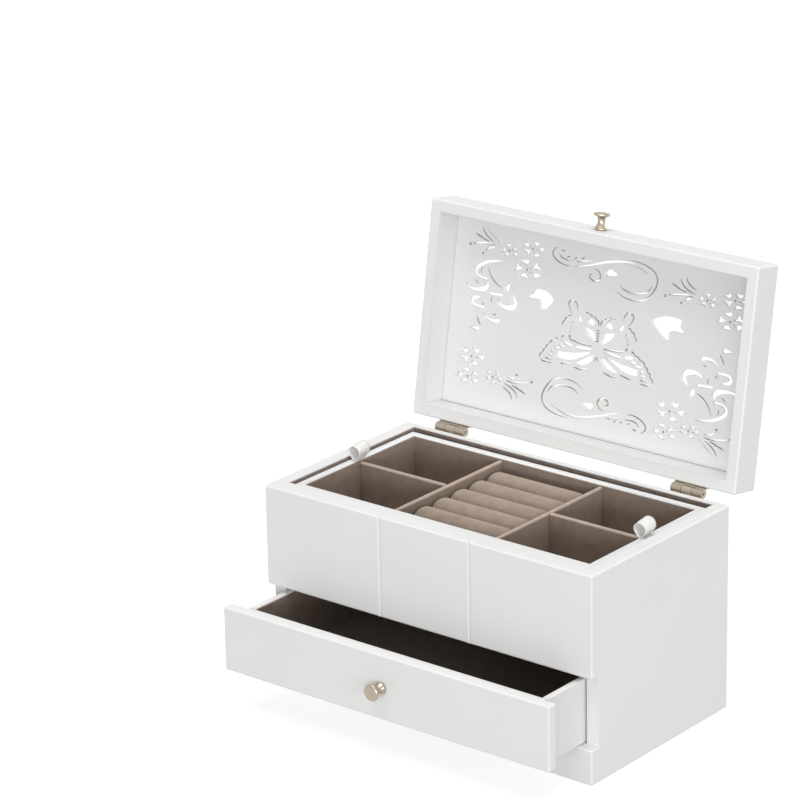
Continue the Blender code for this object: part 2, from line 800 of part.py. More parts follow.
def make_drawer():
    box_x = inner_x - drawer_side_gap - seam_gap
    box_front_y = board_front_y + seam_gap
    inner_front_y = box_front_y + drawer_inner_front
    box_back_y = inner_back_y - drawer_end_gap
    foot_z = plinth_height + seam_gap
    rim_z = drawer_top_z - drawer_side_drop
    face = add_board(
        "drawer_front", (-half_width, front_y, drawer_bottom_z),
        (half_width, board_front_y, drawer_top_z), paint, drawer,
    )
    inner = add_board(
        "drawer_box_front", (-box_x, box_front_y, foot_z), (box_x, inner_front_y, rim_z),
        paint, drawer, rounding=divider_round,
    )
    for label, side in sides:
        low_x, high_x = mirrored(side, box_x - drawer_wall, box_x)
        add_board(
            f"drawer_side_{label}", (low_x, inner_front_y + seam_gap, foot_z),
            (high_x, box_back_y, rim_z), paint, drawer, rounding=divider_round,
        )
    wall_x = box_x - drawer_wall - seam_gap
    add_board(
        "drawer_back", (-wall_x, box_back_y - drawer_wall, foot_z), (wall_x, box_back_y, rim_z),
        paint, drawer, rounding=divider_round,
    )
    floor_z = foot_z + drawer_bottom_lift
    back_limit = box_back_y - drawer_wall - seam_gap
    add_board(
        "drawer_bottom", (-wall_x, inner_front_y + seam_gap, floor_z),
        (wall_x, back_limit, floor_z + drawer_bottom_thickness), paint, drawer, rounding=0,
    )
    lining = tray_shape_of(
        (-wall_x, inner_front_y + seam_gap, floor_z + drawer_bottom_thickness + seam_gap),
        (wall_x, back_limit, rim_z - drawer_lining_drop), lining_thickness, lining_thickness,
    )
    add_mesh("drawer_liner", lining, velvet, drawer)
    centre_z = (drawer_bottom_z + drawer_top_z) / 2
    make_knob("drawer_knob", face, centre_z, inner_front_y - front_y, drawer, inner)


# Tray: four walls, a bottom, a lining, dividers, ring rolls and two ribbon pulls

def make_tray():
    for name, start_y, end_y in (
        ("tray_wall_front", tray_front_y, tray_front_y + tray_wall),
        ("tray_wall_back", tray_back_y - tray_wall, tray_back_y),
    ):
        add_board(
            name, (-tray_half, start_y, tray_bottom_z), (tray_half, end_y, tray_top_z), paint,
            tray, rounding=tray_wall_round,
        )
    walls = {}
    for label, side in sides:
        low_x, high_x = mirrored(side, tray_half - tray_wall, tray_half)
        walls[label] = add_board(
            f"tray_wall_{label}", (low_x, tray_front_y + tray_wall + seam_gap, tray_bottom_z),
            (high_x, tray_back_y - tray_wall - seam_gap, tray_top_z), paint, tray,
            rounding=tray_wall_round,
        )
    inside_x = tray_half - tray_wall - seam_gap
    inside_low_y = tray_front_y + tray_wall + seam_gap
    inside_high_y = tray_back_y - tray_wall - seam_gap
    board_top_z = tray_bottom_z + tray_bottom_thickness
    add_board(
        "tray_bottom", (-inside_x, inside_low_y, tray_bottom_z),
        (inside_x, inside_high_y, board_top_z), paint, tray, rounding=0,
    )
    lining = tray_shape_of(
        (-inside_x, inside_low_y, board_top_z + seam_gap),
        (inside_x, inside_high_y, tray_top_z - tray_lining_drop),
        lining_thickness, lining_thickness,
    )
    add_mesh("tray_liner", lining, velvet, tray)
    make_dividers(inside_x, inside_low_y, inside_high_y, board_top_z)
    make_rolls(inside_low_y, inside_high_y, board_top_z)
    make_ribbons(walls)


def make_dividers(inside_x, inside_low_y, inside_high_y, board_top_z):
    foot_z = board_top_z + seam_gap + lining_thickness + seam_gap
    top_z = tray_top_z - divider_drop
    near = inside_low_y + lining_thickness + seam_gap
    far = inside_high_y - lining_thickness - seam_gap
    side_x = inside_x - lining_thickness - seam_gap
    half = divider_thickness / 2
    for label, side in sides:
        low_x, high_x = mirrored(side, divider_offset - half, divider_offset + half)
        add_board(
            f"divider_long_{label}", (low_x, near, foot_z), (high_x, far, top_z), velvet, tray,
            rounding=divider_round,
        )
        low_x, high_x = mirrored(side, divider_offset + half + seam_gap, side_x)
        add_board(
            f"divider_short_{label}", (low_x, tray_y - half, foot_z),
            (high_x, tray_y + half, top_z), velvet, tray, rounding=divider_round,
        )


def make_rolls(inside_low_y, inside_high_y, board_top_z):
    # Five padded rolls lie side by side on a pad between the long dividers.
    room = divider_offset - divider_thickness / 2 - seam_gap
    foot_z = board_top_z + seam_gap + lining_thickness + seam_gap
    near = inside_low_y + lining_thickness + seam_gap
    far = inside_high_y - lining_thickness - seam_gap
    pitch = (far - near - roll_front_slot - roll_back_gap + roll_gap) / roll_count
    roll_radius = (pitch - roll_gap) / 2
    axis_z = tray_top_z - roll_drop - roll_radius
    add_board(
        "ring_roll_pad", (-room, near, foot_z), (room, far, axis_z - roll_radius - seam_gap),
        velvet, tray, rounding=divider_round,
    )
    profile = [(0, 0)]
    for ring in range(roll_end_rings):
        turn = pi / 2 * (2 * ring + 1) / (2 * roll_end_rings)
        profile.append((roll_radius * sin(turn), roll_end_length * (1 - cos(turn))))
    profile.append((roll_radius, roll_end_length))
    length = 2 * room
    profile += [(radius, length - place) for radius, place in reversed(profile)]
    last_y = far - roll_back_gap - roll_radius
    for index in range(roll_count):
        start = Vector((-room, last_y - (roll_count - 1 - index) * pitch, axis_z))
        roll = turned_shape(profile, roll_steps, toward_right, start)
        add_mesh(f"ring_roll_{index + 1}", roll, roll_velvet, tray)


def strip_outline(path, thickness):
    # Both sides of a strip that follows a path.
    last = len(path) - 1
    left, right = [], []
    for index, point in enumerate(path):
        along = path[min(index + 1, last)] - path[max(index - 1, 0)]
        across = Vector((-along.y, along.x)).normalized() * thickness / 2
        left.append(point + across)
        right.append(point - across)
    return left + right[::-1]


def make_ribbons(walls):
    # Each pull is a drop-shaped loop of ribbon whose two ends are glued into a shallow
    # pocket behind the lining.
    wall_x = tray_half - tray_wall
    inner_layer = wall_x + ribbon_thickness / 2
    outer_layer = inner_layer + ribbon_thickness + seam_gap
    centre = Vector(((inner_layer + outer_layer) / 2, tray_top_z + ribbon_rise - ribbon_bight))
    drop = centre.y - tray_top_z
    lean = acos(ribbon_bight / drop)
    first = -pi / 2 + lean
    sweep = 2 * pi - 2 * lean
    foot_z = tray_top_z - ribbon_tail
    path = [Vector((outer_layer, foot_z)), Vector((outer_layer, tray_top_z))]
    for step in range(ribbon_arc_points + 1):
        turn = first + sweep * step / ribbon_arc_points
        path.append(centre + ribbon_bight * Vector((cos(turn), sin(turn))))
    path += [Vector((inner_layer, tray_top_z)), Vector((inner_layer, foot_z))]
    outline = strip_outline(path, ribbon_thickness)
    pocket_depth = 2 * ribbon_thickness + 2 * seam_gap
    half_span = ribbon_width / 2 + seam_gap
    for label, side in sides:
        low_x, high_x = mirrored(side, wall_x - overrun, wall_x + pocket_depth)
        pocket = box_shape(
            (low_x, tray_y - half_span, foot_z - seam_gap),
            (high_x, tray_y + half_span, tray_top_z + overrun),
        )
        cut_with(walls[label], add_mesh(f"ribbon_pocket_{label}", pocket, satin))
        shape = prism_shape(
            [(side * x, z) for x, z in outline],
            tray_y - ribbon_width / 2, tray_y + ribbon_width / 2,
            lambda a, b, c: Vector((a, c, b)),
        )
        add_mesh(f"ribbon_pull_{label}", shape, satin, tray)


back_panel = make_carcass()
make_well()
lid_back_rail = make_lid()
make_hinges(back_panel, lid_back_rail)
make_drawer()
make_tray()
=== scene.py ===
# Jewelry box: painted boards, a pierced lid, velvet linings, ribbon pulls and nickel fittings,
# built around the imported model. Metres, x to the right, y from front to back, z up.

from math import acos, copysign, cos, pi, radians, sin

import bmesh
import bpy
from mathutils import Matrix, Vector, noise


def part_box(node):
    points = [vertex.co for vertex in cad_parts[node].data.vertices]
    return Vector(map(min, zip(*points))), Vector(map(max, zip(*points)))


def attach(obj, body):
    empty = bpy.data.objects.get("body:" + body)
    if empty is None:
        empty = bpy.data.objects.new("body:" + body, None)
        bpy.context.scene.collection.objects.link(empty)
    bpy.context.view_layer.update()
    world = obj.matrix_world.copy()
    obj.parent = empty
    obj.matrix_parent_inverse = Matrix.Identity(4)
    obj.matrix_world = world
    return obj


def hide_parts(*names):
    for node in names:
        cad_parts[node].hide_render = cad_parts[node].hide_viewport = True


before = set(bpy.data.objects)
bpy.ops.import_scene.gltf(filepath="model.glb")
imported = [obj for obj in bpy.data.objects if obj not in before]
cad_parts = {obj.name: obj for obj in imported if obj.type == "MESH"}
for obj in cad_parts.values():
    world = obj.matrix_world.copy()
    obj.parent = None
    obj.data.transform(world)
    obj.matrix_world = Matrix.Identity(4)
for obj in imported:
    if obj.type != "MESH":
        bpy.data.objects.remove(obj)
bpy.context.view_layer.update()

mm = 0.001
print("frame loaded,", len(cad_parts), "nodes")


def newObject(name, data):
    thing = bpy.data.objects.new(name, data)
    bpy.context.scene.collection.objects.link(thing)
    return thing


# Camera: the photograph's own viewpoint

camera = {
    "place": (1.47780457, -1.90986953, 1.0861211),
    "right": (0.77827014, 0.62768929, -0.01737063),
    "up": (-0.19925446, 0.27309964, 0.94112393),
    "look": (-0.59547732, 0.72898748, -0.33761519),
    "lens": 170.0557,
    "sensor": 36.0,
    "near": 0.1,
    "far": 40.0,
}


def makeCamera():
    data = bpy.data.cameras.new("photoCamera")
    data.lens = camera["lens"]
    data.sensor_width = camera["sensor"]
    data.clip_start = camera["near"]
    data.clip_end = camera["far"]
    columns = [Vector(camera["right"]), Vector(camera["up"]), -Vector(camera["look"])]
    turn = Matrix(columns).transposed().to_4x4()
    eye = newObject("photoCamera", data)
    eye.matrix_world = Matrix.Translation(camera["place"]) @ turn
    bpy.context.scene.camera = eye


makeCamera()
print("camera set")


# Materials

def hexColour(text):
    # sRGB hex to the linear colour that the shader wants
    channels = [int(text[i:i + 2], 16) / 255 for i in (1, 3, 5)]
    linear = [c / 12.92 if c <= 0.04045 else ((c + 0.055) / 1.055) ** 2.4 for c in channels]
    return (*linear, 1.0)


def addNode(tree, kind, settings=None, links=None):
    node = tree.nodes.new(kind)
    for key, value in (settings or {}).items():
        if isinstance(key, str) and hasattr(node, key):
            setattr(node, key, value)
        else:
            node.inputs[key].default_value = value
    for key, source in (links or {}).items():
        tree.links.new(source, node.inputs[key])
    return node


def newFinish(name, settings):
    finish = bpy.data.materials.new(name)
    finish.use_nodes = True
    shader = finish.node_tree.nodes["Principled BSDF"]
    for socket, value in settings.items():
        shader.inputs[socket].default_value = value
    return finish, finish.node_tree, shader


def blendColours(tree, factor, first, second):
    mix = addNode(tree, "ShaderNodeMix", {"data_type": "RGBA"}, {0: factor})
    mix.inputs[6].default_value = hexColour(first)
    mix.inputs[7].default_value = hexColour(second)
    return mix.outputs[2]


lacquer = {
    "base": "#E4E4E3", "shade": "#DFDFDE",
    "cloudSize": 60 * mm,     # slow change of tone over a board
    "peelSize": 1.4 * mm,     # the orange peel of a sprayed coat
    "peelDepth": 0.012 * mm,
    "roughness": 0.42, "ior": 1.46,
    # painted light: the openings' walls are whiter than the faces, for the light from behind
    "edgeBase": "#F3F3F2", "edgeShade": "#EEEEED",
    # painted shade: the narrow slits' walls are grey, for the shade inside them
    "slitBase": "#CCCAC7", "slitShade": "#C4C2BF",
}


def sprayedLacquer(name, base, shade):
    # Sprayed satin lacquer on MDF: an even near-white with a soft broad shine and a faint
    # orange peel.
    finish, tree, shader = newFinish(
        name, {"Roughness": lacquer["roughness"], "IOR": lacquer["ior"]})
    place = addNode(tree, "ShaderNodeTexCoord").outputs["Object"]
    cloud = addNode(tree, "ShaderNodeTexNoise",
                    {"Scale": 1 / lacquer["cloudSize"], "Detail": 2.0}, {"Vector": place})
    tree.links.new(
        blendColours(tree, cloud.outputs["Fac"], base, shade), shader.inputs["Base Color"])
    peel = addNode(tree, "ShaderNodeTexNoise",
                   {"Scale": 1 / lacquer["peelSize"], "Detail": 1.0}, {"Vector": place})
    bump = addNode(tree, "ShaderNodeBump", {"Strength": 0.5, "Distance": lacquer["peelDepth"]},
                   {"Height": peel.outputs["Fac"]})
    tree.links.new(bump.outputs["Normal"], shader.inputs["Normal"])
    return finish


velvet = {
    # painted shade: the tray's cloth made darker for the linings deep in the box and drawer
    "shadedLiningDark": "#5E534B", "shadedLiningLight": "#766960",    # the box and drawer linings
    "trayDark": "#786A60", "trayLight": "#8D7E73",
    "rollDark": "#8A7C6E", "rollLight": "#A19284",
    # painted light: the same cloth made lighter for the dividers' tops
    "litTopDark": "#A09184", "litTopLight": "#BCAC9F",  # where it folds over a divider's top
    "napSize": 7 * mm,        # patches where the pile leans one way or the other
    "pileSize": 0.55 * mm,    # a tuft is about 0.15 mm; drawn coarser so that it shows
    "pileDepth": 0.12 * mm,
    "napShare": 0.6, "pileShare": 0.4, "toneFrom": 0.32, "toneTo": 0.68,
    "roughness": 0.95, "specular": 0.1,
    "sheen": 0.75, "sheenRoughness": 0.5, "sheenTint": "#E3D2C2",
}


def flockedVelvet(name, dark, light):
    # Flocked velvet glued over boards: matt, deep in the shade and pale at grazing light,
    # with cloudy patches where the pile was brushed.
    finish, tree, shader = newFinish(name, {
        "Roughness": velvet["roughness"], "Specular IOR Level": velvet["specular"],
        "Sheen Weight": velvet["sheen"], "Sheen Roughness": velvet["sheenRoughness"],
        "Sheen Tint": hexColour(velvet["sheenTint"]),
    })
    place = addNode(tree, "ShaderNodeTexCoord").outputs["Object"]
    nap = addNode(tree, "ShaderNodeTexNoise",
                  {"Scale": 1 / velvet["napSize"], "Detail": 4.0, "Roughness": 0.6},
                  {"Vector": place})
    pile = addNode(tree, "ShaderNodeTexNoise",
                   {"Scale": 1 / velvet["pileSize"], "Detail": 2.0}, {"Vector": place})
    tone = addNode(tree, "ShaderNodeMath",
                   {"operation": "MULTIPLY_ADD", 1: velvet["napShare"]},
                   {0: nap.outputs["Fac"]})
    grain = addNode(tree, "ShaderNodeMath", {"operation": "MULTIPLY", 1: velvet["pileShare"]},
                    {0: pile.outputs["Fac"]})
    tree.links.new(grain.outputs[0], tone.inputs[2])
    spread = addNode(tree, "ShaderNodeMapRange",
                     {"From Min": velvet["toneFrom"], "From Max": velvet["toneTo"]},
                     {"Value": tone.outputs[0]})
    tree.links.new(
        blendColours(tree, spread.outputs["Result"], dark, light), shader.inputs["Base Color"])
    bump = addNode(tree, "ShaderNodeBump", {"Strength": 0.6, "Distance": velvet["pileDepth"]},
                   {"Height": pile.outputs["Fac"]})
    tree.links.new(bump.outputs["Normal"], shader.inputs["Normal"])
    return finish


nickel = {
    "base": "#BCB1A1", "shade": "#A89B88",
    "plateSize": 0.35 * mm,   # the plate's unevenness is about 0.1 mm wide; drawn coarser
    "plateDepth": 0.006 * mm,
    "roughness": 0.26,
}


def satinNickel():
    # Champagne nickel plate over die-cast zinc: a warm soft mirror, faintly uneven.
    finish, tree, shader = newFinish(
        "satinChampagneNickel", {"Metallic": 1.0, "Roughness": nickel["roughness"]})
    place = addNode(tree, "ShaderNodeTexCoord").outputs["Object"]
    plate = addNode(tree, "ShaderNodeTexNoise",
                    {"Scale": 1 / nickel["plateSize"], "Detail": 3.0}, {"Vector": place})
    tree.links.new(
        blendColours(tree, plate.outputs["Fac"], nickel["base"], nickel["shade"]),
        shader.inputs["Base Color"])
    bump = addNode(tree, "ShaderNodeBump", {"Strength": 0.4, "Distance": nickel["plateDepth"]},
                   {"Height": plate.outputs["Fac"]})
    tree.links.new(bump.outputs["Normal"], shader.inputs["Normal"])
    return finish


satin = {
    "base": "#EAE9E7", "shade": "#D9D7D3",
    "ribSize": 0.9425 * mm,   # filling threads are about 0.15 mm apart; drawn coarser
    "ribDepth": 0.01 * mm,
    "roughness": 0.38, "sheen": 0.25, "sheenRoughness": 0.3,
    "glow": 0.8, "glowDepth": 1.2 * mm,
}
wavePeriod = 2 * pi / 20      # of a wave texture at a scale of 1


def wovenSatin():
    # Polyester satin ribbon: smooth and bright, with fine ribs from edge to edge.
    finish, tree, shader = newFinish("whiteSatinRibbon", {
        "Roughness": satin["roughness"],
        "Sheen Weight": satin["sheen"], "Sheen Roughness": satin["sheenRoughness"],
        # The thin cloth lets light through to the loop's inside.
        "Subsurface Weight": satin["glow"], "Subsurface Scale": satin["glowDepth"],
        "Subsurface Radius": (1, 1, 1),
    })
    along = addNode(tree, "ShaderNodeUVMap", {"uv_map": "ribbonLength"}).outputs["UV"]
    ribs = addNode(tree, "ShaderNodeTexWave",
                   {"wave_type": "BANDS", "bands_direction": "X",
                    "Scale": wavePeriod / satin["ribSize"], "Distortion": 0.4},
                   {"Vector": along})
    tree.links.new(
        blendColours(tree, ribs.outputs["Fac"], satin["shade"], satin["base"]),
        shader.inputs["Base Color"])
    bump = addNode(tree, "ShaderNodeBump", {"Strength": 0.5, "Distance": satin["ribDepth"]},
                   {"Height": ribs.outputs["Fac"]})
    tree.links.new(bump.outputs["Normal"], shader.inputs["Normal"])
    return finish


whiteLacquer = sprayedLacquer("satinWhiteLacquer", lacquer["base"], lacquer["shade"])
# Cut edges of the pierced sheet, painted whiter than the faces: painted light for the light
# that reaches them through the openings from behind
litCutEdgeLacquer = sprayedLacquer("paintedLightCutEdgeLacquer", lacquer["edgeBase"], lacquer["edgeShade"])
# Walls of the narrow slits, painted grey as painted shade for the depth of the slit: the cut
# shows as a thin grey line
shadedSlitEdge = sprayedLacquer("paintedShadeSlitWall", lacquer["slitBase"], lacquer["slitShade"])
# Painted shade: a darker copy of the tray's velvet for the linings deep in the box and drawer
shadedLiningVelvet = flockedVelvet("paintedShadeTaupeVelvet", velvet["shadedLiningDark"], velvet["shadedLiningLight"])
taupeVelvet = flockedVelvet("taupeVelvet", velvet["trayDark"], velvet["trayLight"])
rollVelvet = flockedVelvet("lightTaupeVelvet", velvet["rollDark"], velvet["rollLight"])
# Painted light: a lighter copy of the cloth for the dividers' upward faces and rounded edges,
# where the light from above falls
litTopVelvet = flockedVelvet("paintedLightTopVelvet", velvet["litTopDark"], velvet["litTopLight"])
champagneNickel = satinNickel()
ribbonSatin = wovenSatin()
print("materials made")


# Shared ways of making a piece

hinge = {"y": 83.2 * mm, "z": 151 * mm, "opening": radians(99.4)}
hingePoint = Vector((0, hinge["y"], hinge["z"]))
openLid = (Matrix.Translation(hingePoint) @ Matrix.Rotation(-hinge["opening"], 4, "X")
           @ Matrix.Translation(-hingePoint))
drawerPull = 47 * mm
openDrawer = Matrix.Translation((0, -drawerPull, 0))
weld = 0.001 * mm      # points closer than this become one
slack = 0.5 * mm       # how far from a place an edge still counts as being there
sharpTurn = 0.5        # radians between two faces, above which their edge shows


def addPiece(name, shape, finish, body, nodes, move=None, smooth=True):
    if move:
        bmesh.ops.transform(shape, matrix=move, verts=shape.verts)
    mesh = bpy.data.meshes.new(name)
    shape.to_mesh(mesh)
    shape.free()
    for polygon in mesh.polygons:
        polygon.use_smooth = smooth
    mesh.materials.append(finish)
    piece = newObject(name, mesh)
    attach(piece, body)
    if nodes:
        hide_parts(*nodes)
    return piece


def paintNode(node, finish):
    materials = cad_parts[node].data.materials
    materials.clear()
    materials.append(finish)


def roundEdges(piece, radius, segments=3):
    # Each edge's weight is its share of the radius.
    bevel = piece.modifiers.new("roundEdges", "BEVEL")
    bevel.limit_method = "WEIGHT"
    bevel.width = radius
    bevel.segments = segments
    bevel.profile = 0.5
    bevel.harden_normals = True
    return piece


def weighEdges(shape, shareOf):
    # A corner that isn't rounded is marked sharp, so that the shading breaks there.
    layer = shape.edges.layers.float.new("bevel_weight_edge")
    for edge in shape.edges:
        edge[layer] = shareOf(edge)
        edge.smooth = edge[layer] > 0 or edge.calc_face_angle(0) < sharpTurn


def sidesOf(edge):
    # The two directions that an edge of a straight board lies between, such as "-x" and "+z"
    found = set()
    for face in edge.link_faces:
        axis = max(range(3), key=lambda i: abs(face.normal[i]))
        found.add(("+" if face.normal[axis] > 0 else "-") + "xyz"[axis])
    return found


def blockShape(low, high):
    shape = bmesh.new()
    bmesh.ops.create_cube(shape, size=1)
    bmesh.ops.scale(shape, vec=high - low, verts=shape.verts)
    bmesh.ops.translate(shape, vec=(low + high) / 2, verts=shape.verts)
    bmesh.ops.recalc_face_normals(shape, faces=shape.faces)
    return shape


def boardShape(low, high, shares):
    shape = blockShape(low, high)

    def shareOf(edge):
        around = sidesOf(edge)
        fitting = [share for key, share in shares.items()
                   if {key[i:i + 2] for i in range(0, len(key), 2)} <= around]
        return min(fitting, default=1.0)

    weighEdges(shape, shareOf)
    return shape


def addBoard(name, node, body, radius, shares=None, grow=None, finish=None):
    # A board in its node's place. Where it meets its neighbour it grows up to it, and the
    # edges there stay sharp, so that the paint runs on over the joint.
    low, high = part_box(node)
    for side, amount in (grow or {}).items():
        axis = "xyz".index(side[1])
        if side[0] == "-":
            low[axis] -= amount
        else:
            high[axis] += amount
    piece = addPiece(name, boardShape(low, high, shares or {}), finish or whiteLacquer, body,
                     [node])
    return roundEdges(piece, radius)


def pullFaces(shape, faces, along):
    # Flat faces drawn out into a solid
    grown = bmesh.ops.extrude_face_region(shape, geom=faces)["geom"]
    raised = [item for item in grown if isinstance(item, bmesh.types.BMVert)]
    bmesh.ops.translate(shape, vec=along, verts=raised)
    bmesh.ops.recalc_face_normals(shape, faces=shape.faces)


def turnProfile(profile, steps):
    # A round solid about z, from pairs of radius and height
    shape = bmesh.new()
    chain = [shape.verts.new((radius, 0, height)) for radius, height in profile]
    edges = [shape.edges.new(pair) for pair in zip(chain, chain[1:])]
    bmesh.ops.spin(shape, geom=chain + edges, cent=(0, 0, 0), axis=(0, 0, 1), angle=2 * pi,
                   steps=steps, use_merge=True)
    bmesh.ops.remove_doubles(shape, verts=shape.verts, dist=weld)
    bmesh.ops.recalc_face_normals(shape, faces=shape.faces)
    return shape


def ringShape(low, high, wall, shares):
    # A frame of four walls round an open middle, made from one flat ring
    shape = bmesh.new()
    corners = ((low.x, low.y), (high.x, low.y), (high.x, high.y), (low.x, high.y))
    outer = shape.faces.new([shape.verts.new((x, y, low.z)) for x, y in corners])
    outer.normal_update()
    bmesh.ops.inset_region(shape, faces=[outer], thickness=wall, use_boundary=True,
                           use_even_offset=True)
    bmesh.ops.delete(shape, geom=[outer], context="FACES")
    pullFaces(shape, shape.faces[:], (0, 0, high.z - low.z))
    middle = (low + high) / 2
    reach = (high - low) / 2 - Vector((wall, wall, 0)) / 2

    def shareOf(edge):
        centre = (edge.verts[0].co + edge.verts[1].co) / 2 - middle
        flat = [face for face in edge.link_faces if abs(face.normal.z) > 0.5]
        outside = abs(centre.x) > reach.x or abs(centre.y) > reach.y
        where = "outer" if outside else "inner"
        if len(flat) == 2:
            return 0.0
        level = "Top" if centre.z > 0 else "Foot"
        return shares[where + (level if flat else "Corner")]

    weighEdges(shape, shareOf)
    return shape


joint = 0.26 * mm      # closes the gap that the solids keep between glued boards


# Carcass

carcass = {"round": 1.3 * mm, "innerShare": 0.3, "grooveShare": 0.22, "grooveFootShare": 0.15,
           "grooveOffset": 38.5 * mm, "grooveWidth": 2.4 * mm, "grooveDepth": 1.5 * mm,
           "backJoint": 0.2 * mm}


def makeCarcass():
    inner = carcass["innerShare"]
    for label, inward, outward in (("left", "+x", "-x"), ("right", "-x", "+x")):
        addBoard("sidePanel" + label.capitalize(), "side_panel_" + label, "box",
                 carcass["round"], {"-y": 0.0, inward + "+z": inner, inward: inner},
                 {"-y": joint})
    addBoard("backPanel", "back_panel", "box", carcass["round"],
             {"-x": 0.0, "+x": 0.0, "-y": inner},
             {"-x": carcass["backJoint"], "+x": carcass["backJoint"]})
    addBoard("innerFrontBoard", "inner_front_board", "box", carcass["round"],
             {"-x": 0.0, "+x": 0.0, "-y": 0.0, "+y": inner},
             {"-x": joint, "+x": joint, "-y": joint})


def upperFrontShape():
    low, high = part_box("upper_front_panel")
    half = carcass["grooveWidth"] / 2
    outline = [(low.x, high.y), (low.x, low.y)]
    for side in (-1, 1):
        centre = side * carcass["grooveOffset"]
        outline += [(centre - half, low.y), (centre, low.y + carcass["grooveDepth"]),
                    (centre + half, low.y)]
    outline += [(high.x, low.y), (high.x, high.y)]
    shape = bmesh.new()
    face = shape.faces.new([shape.verts.new((x, y, low.z)) for x, y in outline])
    pullFaces(shape, [face], (0, 0, high.z - low.z))

    def shareOf(edge):
        first, second = (vertex.co for vertex in edge.verts)
        centre = (first + second) / 2
        if min(first.y, second.y) > high.y - slack:
            return 0.0
        if abs(abs(centre.x) - carcass["grooveOffset"]) > half + slack:
            return 1.0
        if min(first.y, second.y) > low.y + slack:
            return carcass["grooveFootShare"]
        return carcass["grooveShare"]

    weighEdges(shape, shareOf)
    return shape


def makeUpperFront():
    piece = addPiece("upperFront", upperFrontShape(), whiteLacquer, "box",
                     ["upper_front_panel"])
    roundEdges(piece, carcass["round"])


plinth = {"archHeight": 13 * mm, "archHalfSpan": 94 * mm, "archSteps": 40, "power": 2.4,
          "drop": 1.105, "flareFrom": 0.84, "round": 1.3 * mm}


def archRise(across):
    # Share of the arch's height at a share of its half span: a flat crown that falls off
    # to a short flare at the foot
    start, power, drop = plinth["flareFrom"], plinth["power"], plinth["drop"]
    if across <= start:
        return 1 - drop * across ** power
    run = 1 - start
    step = (across - start) / run
    slope = -drop * power * start ** (power - 1)
    foot = 1 - drop * start ** power
    return (1 + 2 * step) * (1 - step) ** 2 * foot + step * (1 - step) ** 2 * slope * run


def makePlinth():
    low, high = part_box("plinth")
    outline = [(low.x, low.z), (low.x, high.z), (high.x, high.z), (high.x, low.z)]
    steps = plinth["archSteps"]
    for index in range(2 * steps + 1):
        across = 1 - index / steps
        outline.append((across * plinth["archHalfSpan"],
                        low.z + plinth["archHeight"] * archRise(abs(across))))
    shape = bmesh.new()
    face = shape.faces.new([shape.verts.new((x, low.y, z)) for x, z in outline])
    pullFaces(shape, [face], (0, high.y - low.y, 0))

    def shareOf(edge):
        first, second = (vertex.co for vertex in edge.verts)
        if min(first.y, second.y) > high.y - slack:
            return 0.0
        across = abs(first.y - second.y) > slack
        return 0.0 if across and abs(first.x) < plinth["archHalfSpan"] - slack else 1.0

    weighEdges(shape, shareOf)
    piece = addPiece("plinthBoard", shape, whiteLacquer, "box", ["plinth"])
    roundEdges(piece, plinth["round"])


makeCarcass()
makeUpperFront()
makePlinth()
for node in ("compartment_floor", "bottom_board", "drawer_bottom", "tray_bottom"):
    paintNode(node, whiteLacquer)
print("carcass made")


# Lid: a frame that the paint makes seamless, and the pierced sheet in its top

lid = {"width": 280 * mm, "depth": 158 * mm, "foot": 152 * mm, "top": 176.7 * mm,
       "rail": 8.8 * mm, "sheet": 3 * mm, "round": 1.4 * mm, "fit": 0.02 * mm,
       "joint": 0.3 * mm}    # the line that shows around the sheet inside the lid


def makeLidFrame():
    low = Vector((-lid["width"] / 2, -lid["depth"] / 2, lid["foot"]))
    high = Vector((lid["width"] / 2, lid["depth"] / 2, lid["top"]))
    shape = ringShape(low, high, lid["rail"], {
        "outerTop": 1.0, "outerFoot": 1.0, "outerCorner": 1.0,
        "innerTop": 0.0, "innerFoot": 0.6, "innerCorner": 0.0,
    })
    piece = addPiece("lidFrame", shape, whiteLacquer, "lid",
                     ["lid_rail_front", "lid_rail_back", "lid_rail_left", "lid_rail_right"],
                     openLid)
    roundEdges(piece, lid["round"])


# The ornament's lines pass through these points, in millimetres from the lid's middle.
# A slit has one width and pointed ends, a band has a width at every point.

fretwork = {"stations": 6, "taper": 0.7, "dotPoints": 16, "petals": 5, "centre": 0.85,
            "petal": ((0.22, 0.0), (0.5, 0.09), (0.7, 0.3), (0.97, 0.27), (0.86, 0.0),
                      (0.97, -0.27), (0.7, -0.3), (0.5, -0.09)),
            "scrollShift": 2.4, "wingShift": 1.3, "waveStations": 8, "narrow": 1.1}
scrollSlits = (
    (1.3, ((-7.5, 37.6), (-15, 34.2), (-22, 33), (-30, 33.8), (-36, 36.8), (-40.4, 42),
           (-42.8, 48), (-42.4, 52.4), (-39.6, 56), (-35, 58.4), (-28, 60), (-18.6, 60.6))),
    (1.1, ((-11.6, 42), (-15.4, 39.2), (-22, 38), (-30, 38.8), (-36, 41.6), (-39.2, 46.4))),
    (1.7, ((-35, 53.6), (-27, 56.6), (-17, 58.4), (-5, 57), (6, 54), (16, 50.6), (28.4, 47.2))),
    (1.1, ((14, 54), (20, 52.8), (26.6, 51.6))),
    (0.9, ((29, 51.8), (35, 51.2), (40, 52.4), (42, 55.2))),
    (0.9, ((40.8, 57.2), (38.6, 57.4), (36.6, 56.6))),
    (1.2, ((30.6, 47.8), (37, 47.4), (43.4, 49.4), (47.4, 53), (46.8, 56.6), (43.6, 58.6))),
    (1.2, ((11.6, 49.6), (7.4, 48.2), (5, 45), (6.2, 42), (10.2, 40.6), (13.8, 42),
           (14, 44.6), (11.2, 45))),
    (0.7, ((19.6, 55.6), (21.4, 54.6), (22.4, 53.6))),
    (0.7, ((25.4, 54.6), (27.4, 53.8), (28.6, 52.8))),
    (0.7, ((32, 54.4), (34, 53.6), (35, 52.8))),
)
scrollLeaf = ((-9, 48.6), (-6, 46.8), (-2.8, 46.4), (0.2, 45.8), (1.8, 47.6), (1, 49.4),
              (2.2, 51), (-1, 50.4), (-3.6, 51.4), (-6, 50.2))

